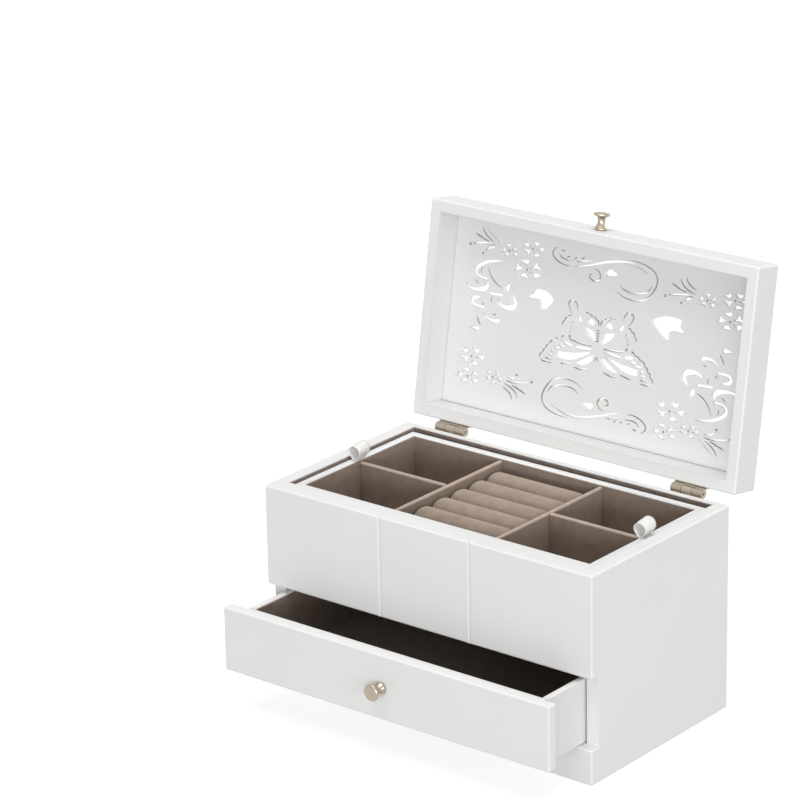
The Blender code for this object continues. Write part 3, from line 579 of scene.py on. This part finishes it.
# Radius along x and y, place and turn
blossoms = (
    (11.5, 7.0, (-108, 33.2), 0.0), (10.5, 6.0, (-110.2, 48.2), 3.14),
    (8.0, 5.0, (-87.6, 44.4), 0.2), (12.5, 7.4, (66, 38), 0.0),
    (10.0, 6.0, (62.8, 53.4), 3.05), (8.2, 4.9, (83.2, 48.6), 0.0),
)
grassBlades = (
    (1.4, ((-76, 44.4), (-70, 44.9), (-62, 43.8), (-55.4, 42.4))),
    (1.6, ((-75, 42.6), (-71.4, 42.4), (-68.2, 40.8))),
    (1.5, ((-70.6, 46.8), (-64, 48.6), (-57, 51.2))),
    (1.2, ((-77.4, 46.8), (-71, 48.8), (-66.4, 51.8), (-64.4, 55.8))),
    (1.2, ((-78.4, 49.4), (-73.4, 51.8), (-70.2, 54.6), (-69, 57.6))),
    (1.4, ((95.6, 50.4), (104, 50.6), (110.6, 49.4), (115.8, 48.2))),
    (1.6, ((95.8, 48.4), (100, 47.9), (102.8, 46.4), (104.4, 44.8))),
    (1.5, ((101.2, 52), (107.6, 53.8), (114, 56))),
    (1.1, ((97, 52.2), (102.6, 55.2), (106.4, 58.4), (108.6, 61.8))),
    (1.7, ((92, 51.4), (96, 55.6), (100.6, 58.2), (104.4, 61.8))),
)
grassDots = (
    (1.1, (-53, 41.4)), (1.0, (-66.6, 38.8)), (1.1, (118, 47.6)), (1.0, (106, 42.9)),
)
cloudBands = (
    ((-88.2, -39.7, 0.7), (-94, -39.1, 1.5), (-101, -37.5, 2.0), (-107.2, -34.5, 2.7),
     (-111.2, -30.8, 3.6), (-111.4, -27.8, 3.3), (-108.8, -25.6, 2.4), (-105, -24.9, 2.1),
     (-100.6, -24.6, 2.6)),
    ((-100.8, -22.8, 2.8), (-100.7, -19.6, 4.2), (-103.6, -17, 3.8), (-109, -15.7, 2.6),
     (-114.6, -15.6, 2.3), (-117.8, -17.2, 2.8), (-117.4, -20, 1.8)),
    ((-99.4, -14.9, 2.0), (-94, -15, 2.2), (-89, -15.3, 2.2), (-85.4, -16, 1.6)),
    ((-80.8, -25.6, 0.9), (-81.9, -22.8, 4.0), (-83.2, -20.6, 4.4), (-84.4, -19.4, 1.6)),
    ((-79.4, -18.2, 1.8), (-76.6, -15.6, 3.2), (-74.7, -12.4, 4.5), (-75.2, -9.4, 4.5),
     (-78.8, -7.6, 3.9), (-84, -7.4, 3.3), (-88, -8.9, 3.2), (-89.6, -12, 1.6)),
    ((-105.4, -11, 0.9), (-110, -9.8, 2.6), (-112.6, -7.8, 3.6), (-111.8, -5.4, 3.4),
     (-108.2, -4.1, 2.5), (-104, -4, 2.2), (-100.6, -4.2, 1.4)),
    ((-103.4, 12.2, 3.4), (-106.4, 12.6, 2.8), (-109.6, 12.6, 1.8), (-112.6, 12.2, 0.6)),
    ((-87, 1.6, 2.6), (-88.2, 3.6, 2.8), (-92, 4.2, 2.6), (-96.4, 3.8, 2.4),
     (-99.8, 1.8, 2.6), (-100.8, -0.6, 1.8)),
)
cloudSlits = (
    (1.0, ((-100.4, -35), (-98.4, -29.6), (-94.4, -25), (-90, -22.2), (-86.4, -21))),
    (1.1, ((-102.4, 9.6), (-104.6, 6.6), (-106.8, 2.8))),
    (0.8, ((-103.4, -6.2), (-101.8, -6.4), (-100, -6.9))),
    (0.7, ((-105.4, -33.2), (-106, -30.6), (-105.6, -28.2))),
    (0.7, ((-111, -23), (-109.4, -21.4), (-107.4, -20.2))),
    (0.8, ((-94.2, -13.2), (-95, -11), (-94.8, -8.6))),
    (0.7, ((-89.6, -0.4), (-91.2, -0.8), (-92.6, -0.6))),
)

# The right half of the butterfly, seen from above
wingCells = (
    ((3, 2.4), (3.4, -1.2), (5, -4.8), (9, -6), (14.2, -6.6), (11.2, -2), (7, 1.2), (4.4, 2.8)),
    ((4.8, -10.8), (6.6, -13.1), (10.2, -13), (12, -10.8), (10.4, -8.8), (6.8, -8.7)),
    ((15.8, -9.2), (17.4, -12.6), (20.6, -14), (21, -12), (19, -9.2)),
    ((5.4, 7.6), (10, 7.1), (16, 7.5), (20.4, 8.2), (20, 10), (14, 9.8), (9, 9)),
    ((6.4, 10.2), (12, 11.3), (20, 13.2), (28, 14.2), (35, 14.8), (36, 17), (35, 19.4),
     (27, 19.8), (18, 17), (10, 12.9)),
    ((3.8, 11.6), (7, 12.9), (12, 15.8), (17.6, 19.2), (19.6, 20.4), (14.6, 21.2),
     (8.8, 19.2), (4.6, 15.4)),
    ((22.6, 8.4), (25, 6.9), (31.2, 6.4), (31.4, 7.8), (27, 9.4), (23.2, 9.8)),
    ((28.2, 11), (30, 9.6), (34.2, 9.4), (34.2, 10.6), (31, 11.8)),
    ((32.2, 13.4), (34.4, 11.8), (38.6, 11.6), (38.4, 13), (35, 13.9)),
    ((37.2, 16.2), (38.6, 14.6), (41.4, 14.7), (41, 16), (39, 16.8)),
    ((38, 19), (40, 17.6), (43, 17.8), (42.4, 19), (40, 19.6)),
    ((38.8, 21.8), (41, 20.6), (44.6, 21), (43.2, 22)),
)
wingSlits = (
    (1.1, ((20.6, -16.8), (20.8, -20), (22.6, -22.8), (25.4, -23.6), (28, -22.4),
           (28.6, -20.2), (26.8, -16.8), (24.6, -12.8))),
    (1.4, ((5, 5.7), (12, 5.5), (19, 5), (25.4, 4.2))),
    (1.2, ((7.2, 22), (11, 23.2), (15, 23.7), (19.4, 23.2))),
    (1.1, ((21.4, 21), (26, 22), (31.4, 22.8))),
    (1.1, ((48.6, 23), (45.8, 24), (38.6, 24))),
    (1.9, ((24, -8.9), (23.4, -7.4), (23.2, -5.9))),
    (1.9, ((25.4, -5.5), (24.8, -4.2), (24.6, -2.7))),
    (1.9, ((26.2, -2.2), (25.6, -0.9), (25.4, 0.6))),
    (1.8, ((25.8, 1.2), (25.2, 2.4), (25, 3.6))),
    (0.8, ((1.2, 12.2), (1.5, 14), (2.2, 16))),
)
# Width, waves, height of a wave and points
wingWaves = (
    (1.1, 3, 0.8, ((1.8, -9.2), (2.6, -12.6), (5, -14.7), (8, -15.5), (10.2, -16.6),
                   (13.6, -16.8))),
    (1.0, 3, 0.9, ((25, -12.6), (28.2, -10.8), (30.8, -8.2), (32.2, -4.4))),
    (1.0, 6, 0.9, ((29.2, 3.2), (33.8, 5.6), (39.8, 8.8), (43.8, 13.2), (46.6, 17),
                   (49.8, 22))),
)
belly = {"rows": 5, "from": 1.2, "pitch": -1.9, "half": 1.3, "height": 0.45}
birds = (
    ((-41, -21.2), (-43.4, -16.4), (-47.4, -12.8), (-51.8, -12.4), (-52.8, -16.8),
     (-54.8, -18.4), (-63.4, -18.6), (-59.8, -22), (-57.4, -25.4), (-47.8, -25.8)),
    ((43.6, -21.8), (48.6, -15.8), (56, -10.4), (59.2, -12), (59.8, -17.4), (71, -17.8),
     (67.8, -22.6), (68.4, -26.8), (57, -27.4), (49.6, -25.4)),
)


def curveThrough(points, closed):
    # A Catmull-Rom curve
    count = len(points)
    path = []
    for span in range(count if closed else count - 1):
        picks = []
        for offset in (-1, 0, 1, 2):
            index = span + offset
            index = index % count if closed else min(max(index, 0), count - 1)
            picks.append(Vector(points[index]))
        before, start, end, after = picks
        for station in range(fretwork["stations"]):
            t = station / fretwork["stations"]
            path.append(0.5 * (2 * start + (end - before) * t
                               + (2 * before - 5 * start + 4 * end - after) * t ** 2
                               + (3 * start - before - 3 * end + after) * t ** 3))
    if not closed:
        path.append(Vector(points[-1]))
    return path


def besidePath(path, halves):
    # Both sides of a path, out along one and back along the other
    left, right = [], []
    last = len(path) - 1
    for index, half in enumerate(halves):
        along = path[min(index + 1, last)] - path[max(index - 1, 0)]
        across = Vector((-along.y, along.x)).normalized() * half
        left.append(path[index] + across)
        right.append(path[index] - across)
    return left, right[::-1]


def pointedEnds(path, halves):
    left, right = besidePath(path, halves)
    return [path[0]] + left[1:-1] + [path[-1]] + right[1:-1]


def slit(width, points):
    # Widest in its middle and pointed at both ends
    path = curveThrough(points, False)
    last = len(path) - 1
    halves = [width / 2 * sin(pi * i / last) ** fretwork["taper"] for i in range(last + 1)]
    return pointedEnds(path, halves)


def wavySlit(width, waves, height, points):
    # A slit of even width that runs in waves, as along a scalloped edge
    smooth = curveThrough(points, False)
    last = waves * fretwork["waveStations"]
    path = []
    for index in range(last + 1):
        along = index / last * (len(smooth) - 1)
        start = min(int(along), len(smooth) - 2)
        step = smooth[start + 1] - smooth[start]
        wave = sin(pi * index / fretwork["waveStations"]) ** 2
        path.append(smooth[start] + step * (along - start)
                    + Vector((step.y, -step.x)).normalized() * height * wave)
    halves = [width / 2 * min(1, sin(pi * i / last) * waves) for i in range(last + 1)]
    return pointedEnds(path, halves)


def band(points):
    stations = curveThrough(points, False)
    left, right = besidePath([p.xy for p in stations], [p.z / 2 for p in stations])
    return left + right


def dot(radius, centre):
    turns = [2 * pi * step / fretwork["dotPoints"] for step in range(fretwork["dotPoints"])]
    return [Vector(centre) + radius * Vector((cos(turn), sin(turn))) for turn in turns]


def blossom(wide, high, centre, turn):
    holes = [dot(fretwork["centre"], centre)]
    for petal in range(fretwork["petals"]):
        facing = turn + 2 * pi * petal / fretwork["petals"]
        outward = Vector((cos(facing), sin(facing)))
        across = Vector((-outward.y, outward.x))
        outline = [outward * near + across * off for near, off in fretwork["petal"]]
        outline = [Vector((centre[0] + wide * p.x, centre[1] + high * p.y)) for p in outline]
        holes.append(curveThrough(outline, True))
    return holes


def halfTurned(outlines, shift=0.0):
    return [[Vector((shift - p.x, -p.y)) for p in outline] for outline in outlines]


def ornament():
    scroll = [slit(*row) for row in scrollSlits] + [curveThrough(scrollLeaf, True)]
    rest = [slit(*row) for row in grassBlades + cloudSlits]
    rest += [band(row) for row in cloudBands] + [dot(*row) for row in grassDots]
    for row in blossoms:
        rest += blossom(*row)
    wing = [curveThrough(cell, True) for cell in wingCells]
    wing += [slit(*row) for row in wingSlits] + [wavySlit(*row) for row in wingWaves]
    wing += [[Vector((fretwork["wingShift"] - p.x, p.y)) for p in outline] for outline in wing]
    rows = []
    for row in range(belly["rows"]):
        y = belly["from"] + row * belly["pitch"]
        half, height = belly["half"], belly["height"]
        rows.append([Vector(p) for p in ((-half, y - height), (half, y - height),
                                         (half, y + height), (-half, y + height))])
    halves = scroll + halfTurned(scroll, fretwork["scrollShift"]) + rest + halfTurned(rest)
    return halves + wing + rows + [curveThrough(bird, True) for bird in birds]


def meanWidth(outline):
    area = around = 0.0
    for start, end in zip(outline, outline[1:] + outline[:1]):
        area += (start.x * end.y - end.x * start.y) / 2
        around += (end - start).length
    return 2 * abs(area) / around


def placeKey(x, y):
    # Finds the same point again, to a hundredth of a millimetre
    return round(x / mm, 2), round(y / mm, 2)


def flatSheet(outlines, thickness):
    # The curve fills its outer outline and leaves the others open.
    curve = bpy.data.curves.new("lidSheet", "CURVE")
    curve.dimensions = "2D"
    curve.fill_mode = "BOTH"
    curve.extrude = thickness / 2
    for outline in outlines:
        spline = curve.splines.new("POLY")
        spline.points.add(len(outline) - 1)
        for point, (x, y) in zip(spline.points, outline):
            point.co = (x, y, 0, 1)
        spline.use_cyclic_u = True
    flat = newObject("lidSheetCurve", curve)
    bpy.context.view_layer.update()
    evaluated = flat.evaluated_get(bpy.context.evaluated_depsgraph_get())
    shape = bmesh.new()
    shape.from_mesh(evaluated.to_mesh())
    bpy.data.objects.remove(flat)
    bmesh.ops.remove_doubles(shape, verts=shape.verts, dist=weld)
    return shape


def makeLidSheet():
    halfX = lid["width"] / 2 - lid["rail"] - lid["fit"]
    halfY = lid["depth"] / 2 - lid["rail"] - lid["fit"]
    outlines = [[(-halfX, -halfY), (halfX, -halfY), (halfX, halfY), (-halfX, halfY)]]
    narrowWalls = set()
    for hole in ornament():
        outlines.append([(p.x * mm, p.y * mm) for p in hole])
        if meanWidth(hole) < fretwork["narrow"]:
            narrowWalls.update(placeKey(x, y) for x, y in outlines[-1])
    shape = flatSheet(outlines, lid["sheet"])
    for vertex in shape.verts:
        x, y, z = vertex.co
        if z < 0 and abs(x) > halfX - lid["joint"] and abs(y) > halfY - lid["joint"]:
            vertex.co.x -= copysign(lid["joint"], x)
            vertex.co.y -= copysign(lid["joint"], y)
    bmesh.ops.recalc_face_normals(shape, faces=shape.faces)
    for face in shape.faces:
        if abs(face.normal.z) < 0.5:      # a hole's wall
            corners = {placeKey(v.co.x, v.co.y) for v in face.verts}
            # Painted light and shade on the hole walls: wide openings get the whiter lacquer,
            # narrow slits the grey one
            face.material_index = 2 if corners <= narrowWalls else 1
    lift = Matrix.Translation((0, 0, lid["top"] - lid["sheet"] / 2))
    piece = addPiece("lidPiercedSheet", shape, whiteLacquer, "lid",
                     ["lid_panel"], openLid @ lift, smooth=False)
    for finish in (litCutEdgeLacquer, shadedSlitEdge):
        piece.data.materials.append(finish)


makeLidFrame()
makeLidSheet()
print("lid made")


# Drawer

drawer = {"round": 1.3 * mm, "wallRound": 0.9 * mm}


def makeDrawer():
    addBoard("drawerFront", "drawer_front", "drawer", drawer["round"])
    addBoard("drawerInnerFront", "drawer_box_front", "drawer", drawer["wallRound"],
             {"-y": 0.0}, {"-y": joint})
    for label in ("left", "right"):
        addBoard("drawerSide" + label.capitalize(), "drawer_side_" + label, "drawer",
                 drawer["wallRound"], {"-y": 0.0}, {"-y": joint})
    addBoard("drawerBack", "drawer_back", "drawer", drawer["wallRound"],
             {"-x": 0.0, "+x": 0.0}, {"-x": joint, "+x": joint})


makeDrawer()
print("drawer made")


# Tray frame

tray = {"round": 1.3 * mm}


def makeTrayFrame():
    low = Vector(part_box("tray_wall_front")[0])
    high = Vector(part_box("tray_wall_back")[1])
    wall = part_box("tray_wall_front")[1].y - low.y
    shape = ringShape(low, high, wall, {
        "outerTop": 1.0, "outerFoot": 1.0, "outerCorner": 1.0,
        "innerTop": 0.7, "innerFoot": 0.0, "innerCorner": 0.0,
    })
    piece = addPiece("trayFrame", shape, whiteLacquer, "tray",
                     ["tray_wall_front", "tray_wall_back", "tray_wall_left",
                      "tray_wall_right"])
    roundEdges(piece, tray["round"])


makeTrayFrame()
print("tray frame made")


# Velvet linings, cut as a cross and folded up along the walls

lining = {"thickness": 0.8 * mm, "round": 0.3 * mm,
          "rise": 4.2 * mm}    # the box lining reaches nearly to the rim, as in the photo


def liningShape(low, high):
    wall = lining["thickness"]
    shape = blockShape(low, high)
    top = max(shape.faces, key=lambda face: face.calc_center_median().z)
    bmesh.ops.inset_region(shape, faces=[top], thickness=wall, use_even_offset=True)
    sunk = bmesh.ops.extrude_discrete_faces(shape, faces=[top])["faces"]
    bmesh.ops.translate(shape, vec=(0, 0, low.z + wall - high.z), verts=sunk[0].verts)
    bmesh.ops.remove_doubles(shape, verts=shape.verts, dist=weld)
    bmesh.ops.recalc_face_normals(shape, faces=shape.faces)
    weighEdges(shape, lambda edge: 1.0 if edge.calc_face_angle(0) > sharpTurn else 0.0)
    return shape


def makeLining(name, node, body, finish, rise=0.0):
    low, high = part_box(node)
    high.z += rise
    piece = addPiece(name, liningShape(low, high), finish, body, [node])
    roundEdges(piece, lining["round"], 2)


# The box and drawer linings take the darker copy of the velvet, as painted shade
makeLining("compartmentLining", "compartment_liner", "box", shadedLiningVelvet,
           lining["rise"])
makeLining("drawerLining", "drawer_liner", "drawer", shadedLiningVelvet)
makeLining("trayLining", "tray_liner", "tray", taupeVelvet)

divider = {"round": 1.4 * mm, "cleatRound": 1.2 * mm}


def makeDividers():
    for label in ("left", "right"):
        side = label.capitalize()
        for kind, ends in (("long", ("-y", "+y")), ("short", ("-x", "+x"))):
            square = {face: 0.0 for face in ("-z",) + ends}
            piece = addBoard(f"divider{kind.capitalize()}{side}", f"divider_{kind}_{label}",
                             "tray", divider["round"], square, finish=taupeVelvet)
            piece.data.materials.append(litTopVelvet)
            piece.modifiers["roundEdges"].material = 1
            for polygon in piece.data.polygons:
                # Painted light: the upward faces take the lighter copy of the velvet
                polygon.material_index = int(polygon.normal.z > 0.5)
        addBoard("trayCleat" + side, "tray_cleat_" + label, "box", divider["cleatRound"],
                 finish=shadedLiningVelvet)


makeDividers()
print("linings and dividers made")


# Ring rolls: foam rods wrapped in velvet, on a padded base

rolls = {"count": 5, "steps": 48, "endLength": 8.5 * mm, "endRings": 6, "bodyRings": 10,
         "footFlat": 0.6 * mm, "footGive": 0.2,    # share of the roundness left at the foot
         "unevenness": 0.14 * mm, "unevenSize": 14 * mm, "seed": 3.7}


def rollProfile(radius, length):
    end, rings = rolls["endLength"], rolls["endRings"]
    profile = [(0, 0)]
    for ring in range(rings):
        turn = pi / 2 * (2 * ring + 1) / (2 * rings)
        profile.append((radius * sin(turn), end * (1 - cos(turn))))
    half = rolls["bodyRings"]
    for ring in range(half):
        profile.append((radius, end + (length / 2 - end) * ring / half))
    return profile + [(radius, length / 2)] + [(r, length - p) for r, p in reversed(profile)]


def makeRoll(number):
    low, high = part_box(f"ring_roll_{number}")
    radius = (high.z - low.z) / 2
    length = high.x - low.x
    centre = (low + high) / 2
    shape = turnProfile(rollProfile(radius, length), rolls["steps"])
    turn = Matrix.Rotation(pi / 2, 4, "Y")
    place = Matrix.Translation((low.x, centre.y, centre.z))
    bmesh.ops.transform(shape, matrix=place @ turn, verts=shape.verts)
    floorZ = low.z + rolls["footFlat"]
    draw = Vector((rolls["seed"] * number, 0, 0))
    for vertex in shape.verts:
        outward = Vector((0, vertex.co.y - centre.y, vertex.co.z - centre.z))
        wave = abs(noise.noise(vertex.co / rolls["unevenSize"] + draw))
        share = outward.length / radius
        vertex.co -= outward * wave * rolls["unevenness"] / radius * share
        vertex.co.z = max(vertex.co.z, floorZ - (floorZ - vertex.co.z) * rolls["footGive"])
    piece = addPiece(f"ringRoll{number}", shape, rollVelvet, "tray",
                     [f"ring_roll_{number}"])


pad = {"round": 2.2 * mm, "roundSegments": 4, "crown": 0.5 * mm, "crownInset": 4 * mm}


def makePad():
    low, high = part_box("ring_roll_pad")
    shape = boardShape(low, high - Vector((0, 0, pad["crown"])), {"-z": 0.0})
    weights = shape.edges.layers.float["bevel_weight_edge"]
    bmesh.ops.bevel(shape, geom=[edge for edge in shape.edges if edge[weights] > 0.5],
                    offset=pad["round"], offset_type="OFFSET", affect="EDGES",
                    segments=pad["roundSegments"], profile=0.5, material=-1)
    top = max(face.calc_center_median().z for face in shape.faces)
    crown = [face for face in shape.faces if face.calc_center_median().z > top - mm / 10]
    bmesh.ops.inset_region(shape, faces=crown, thickness=pad["crownInset"],
                           use_even_offset=True)
    raised = {vertex for face in crown for vertex in face.verts}
    bmesh.ops.translate(shape, vec=(0, 0, pad["crown"]), verts=list(raised))
    bmesh.ops.recalc_face_normals(shape, faces=shape.faces)
    piece = addPiece("ringPad", shape, taupeVelvet, "tray", ["ring_roll_pad"])


for rollNumber in range(1, rolls["count"] + 1):
    makeRoll(rollNumber)
makePad()
print("ring rolls made")


# Ribbon pulls: a loop of satin ribbon, both ends glued behind the lining

ribbon = {"width": 11.5 * mm, "thickness": 0.35 * mm, "rise": 12.6 * mm, "bight": 5.2 * mm,
          "tail": 9 * mm, "turnSteps": 28, "widthSteps": 8, "cup": 0.25 * mm, "flare": 0.07,
          "wallTop": 148 * mm, "innerX": 122.75 * mm, "outerX": 123.55 * mm}


def makeRibbon(label, side):
    low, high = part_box("ribbon_pull_" + label)
    wallTop, innerX, outerX = ribbon["wallTop"], ribbon["innerX"], ribbon["outerX"]
    centre = Vector(((innerX + outerX) / 2, wallTop + ribbon["rise"] - ribbon["bight"]))
    lean = acos(ribbon["bight"] / (centre.y - wallTop))
    path = [Vector((outerX, wallTop - ribbon["tail"])), Vector((outerX, wallTop))]
    sweep = 2 * pi - 2 * lean
    for step in range(ribbon["turnSteps"] + 1):
        turn = lean - pi / 2 + sweep * step / ribbon["turnSteps"]
        path.append(centre + ribbon["bight"] * Vector((cos(turn), sin(turn))))
    path += [Vector((innerX, wallTop)), Vector((innerX, wallTop - ribbon["tail"]))]
    travelled = [0.0]
    for first, second in zip(path, path[1:]):
        travelled.append(travelled[-1] + (second - first).length)
    shape = bmesh.new()
    startY = (low.y + high.y) / 2 - ribbon["width"] / 2
    row = [shape.verts.new((side * p.x, startY, p.y)) for p in path]
    edges = [shape.edges.new(pair) for pair in zip(row, row[1:])]
    for step in range(ribbon["widthSteps"]):
        grown = bmesh.ops.extrude_edge_only(shape, edges=edges)["geom"]
        edges = [item for item in grown if isinstance(item, bmesh.types.BMEdge)]
        row = [item for item in grown if isinstance(item, bmesh.types.BMVert)]
        bmesh.ops.translate(shape, verts=row,
                            vec=(0, ribbon["width"] / ribbon["widthSteps"], 0))
    places = {placeKey(side * p.x, p.y): s for p, s in zip(path, travelled)}
    uvLayer = shape.loops.layers.uv.new("ribbonLength")
    for face in shape.faces:
        for loop in face.loops:
            co = loop.vert.co
            loop[uvLayer].uv = (places[placeKey(co.x, co.z)], co.y - startY)
    for vertex in shape.verts:
        across = (vertex.co.y - startY) / ribbon["width"] * 2 - 1
        lift = max(vertex.co.z - wallTop, 0) / ribbon["rise"]
        vertex.co.z -= ribbon["cup"] * across ** 2 * lift
        near = ribbon["flare"] * (1 - across) * lift
        vertex.co.x -= near * (vertex.co.x - side * centre.x)
        vertex.co.z -= near * (vertex.co.z - wallTop)
    bmesh.ops.recalc_face_normals(shape, faces=shape.faces)
    piece = addPiece("ribbonPull" + label.capitalize(), shape, ribbonSatin, "tray",
                     ["ribbon_pull_" + label])
    thicken = piece.modifiers.new("thicken", "SOLIDIFY")
    thicken.thickness = ribbon["thickness"]
    thicken.offset = 0


makeRibbon("left", -1)
makeRibbon("right", 1)
print("ribbons made")


# Knobs

knob = {"steps": 64, "length": 12 * mm, "foot": 4.3 * mm, "waist": 2.6 * mm, "cap": 6 * mm,
        "footY": -79.3 * mm, "lidZ": 164.35 * mm, "drawerZ": 51 * mm}    # on the shut box

# Share of the foot's flare, share of the cap's, and share of the length
knobProfile = (
    (0.96, 0.0, 0.0), (1.0, 0.0, 0.02), (1.0, 0.0, 0.06), (0.94, 0.0, 0.11),
    (0.78, 0.0, 0.16), (0.5, 0.0, 0.22), (0.25, 0.0, 0.30), (0.08, 0.0, 0.38),
    (0.0, 0.0, 0.46), (0.0, 0.0, 0.58), (0.0, 0.05, 0.66), (0.0, 0.18, 0.73),
    (0.0, 0.42, 0.785), (0.0, 0.7, 0.815), (0.0, 0.9, 0.835), (0.0, 0.985, 0.855),
    (0.0, 1.0, 0.88), (0.0, 0.99, 0.905), (0.0, 0.96, 0.925), (0.0, 0.85, 0.95),
    (0.0, 0.6, 0.975), (0.0, 0.3, 0.993),
)


def makeKnob(name, node, body, centreZ, move):
    profile = [(0, 0)]
    for foot, cap, height in knobProfile:
        radius = knob["waist"] + foot * (knob["foot"] - knob["waist"])
        radius += cap * (knob["cap"] - knob["waist"])
        profile.append((radius, height * knob["length"]))
    profile.append((0, knob["length"]))
    shape = turnProfile(profile, knob["steps"])
    place = Matrix.Translation((0, knob["footY"], centreZ)) @ Matrix.Rotation(pi / 2, 4, "X")
    addPiece(name, shape, champagneNickel, body, [node], move @ place)


makeKnob("lidKnob", "lid_knob", "lid", knob["lidZ"], openLid)
makeKnob("drawerKnob", "drawer_knob", "drawer", knob["drawerZ"], openDrawer)
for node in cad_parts:
    if node.startswith("hinge_") or node.endswith("knob_screw"):
        paintNode(node, champagneNickel)
print("knobs and fittings made")


# Floor, world and lamps

studio = {"floorSize": 16.0, "floor": "#8C8C8C", "floorGlow": 0.22, "seenGlow": 0.6,
          "sky": 0.42, "aim": (0, 0, 0.12),
          "lamps": (
              ("frontLamp", (2.5, -5.1, 0.9), (4.0, 1.4), 131.0),
              ("rightLamp", (6.2, -2.6, 1.4), (4.0, 2.4), 120.0),
              ("rearLamp", (1.6, 6.2, 0.9), (4.0, 1.6), 66.0),
              ("topLamp", (0.2, -0.6, 6.4), (5.0, 5.0), 275.0),
          )}


def seenRays(tree):
    # 1 for the rays that look at the background, straight or in a mirror or glass
    rays = addNode(tree, "ShaderNodeLightPath")
    seen = addNode(tree, "ShaderNodeMath", {"operation": "MAXIMUM"},
                   {0: rays.outputs["Is Camera Ray"], 1: rays.outputs["Is Glossy Ray"]})
    seen = addNode(tree, "ShaderNodeMath", {"operation": "MAXIMUM"},
                   {0: seen.outputs[0], 1: rays.outputs["Is Transmission Ray"]})
    return seen.outputs[0]


def makeFloor():
    shape = bmesh.new()
    bmesh.ops.create_grid(shape, x_segments=1, y_segments=1, size=studio["floorSize"] / 2)
    mesh = bpy.data.meshes.new("studioFloor")
    shape.to_mesh(mesh)
    shape.free()
    ground = newObject("studioFloor", mesh)
    # A lit table top: white, and bright enough from below that shadows on it stay faint.
    paper, tree, shader = newFinish("litTableTop", {
        "Base Color": hexColour(studio["floor"]), "Roughness": 1.0,
        "Specular IOR Level": 0.0, "Emission Color": (1, 1, 1, 1),
    })
    glow = addNode(tree, "ShaderNodeMath", {
        "operation": "MULTIPLY_ADD", 1: studio["seenGlow"], 2: studio["floorGlow"],
    }, {0: seenRays(tree)})
    tree.links.new(glow.outputs[0], shader.inputs["Emission Strength"])
    mesh.materials.append(paper)


def makeWorld():
    world = bpy.data.worlds.new("studioWorld")
    bpy.context.scene.world = world
    world.use_nodes = True
    tree = world.node_tree
    tree.nodes.clear()
    soft = addNode(tree, "ShaderNodeBackground", {"Strength": studio["sky"]})
    white = addNode(tree, "ShaderNodeBackground", {"Strength": 1.0})
    for background in (soft, white):
        background.inputs["Color"].default_value = (1, 1, 1, 1)
    mix = addNode(tree, "ShaderNodeMixShader", {}, {
        0: seenRays(tree), 1: soft.outputs[0], 2: white.outputs[0]})
    addNode(tree, "ShaderNodeOutputWorld", {}, {"Surface": mix.outputs[0]})


def makeLamps():
    aim = Vector(studio["aim"])
    for name, place, size, power in studio["lamps"]:
        data = bpy.data.lights.new(name, "AREA")
        data.shape = "RECTANGLE"
        data.size, data.size_y = size
        data.energy = power
        lamp = newObject(name, data)
        lamp.location = place
        lamp.rotation_euler = (aim - Vector(place)).to_track_quat("-Z", "Y").to_euler()


makeFloor()
makeWorld()
makeLamps()
bpy.context.scene.view_settings.view_transform = "Standard"
print("studio made")
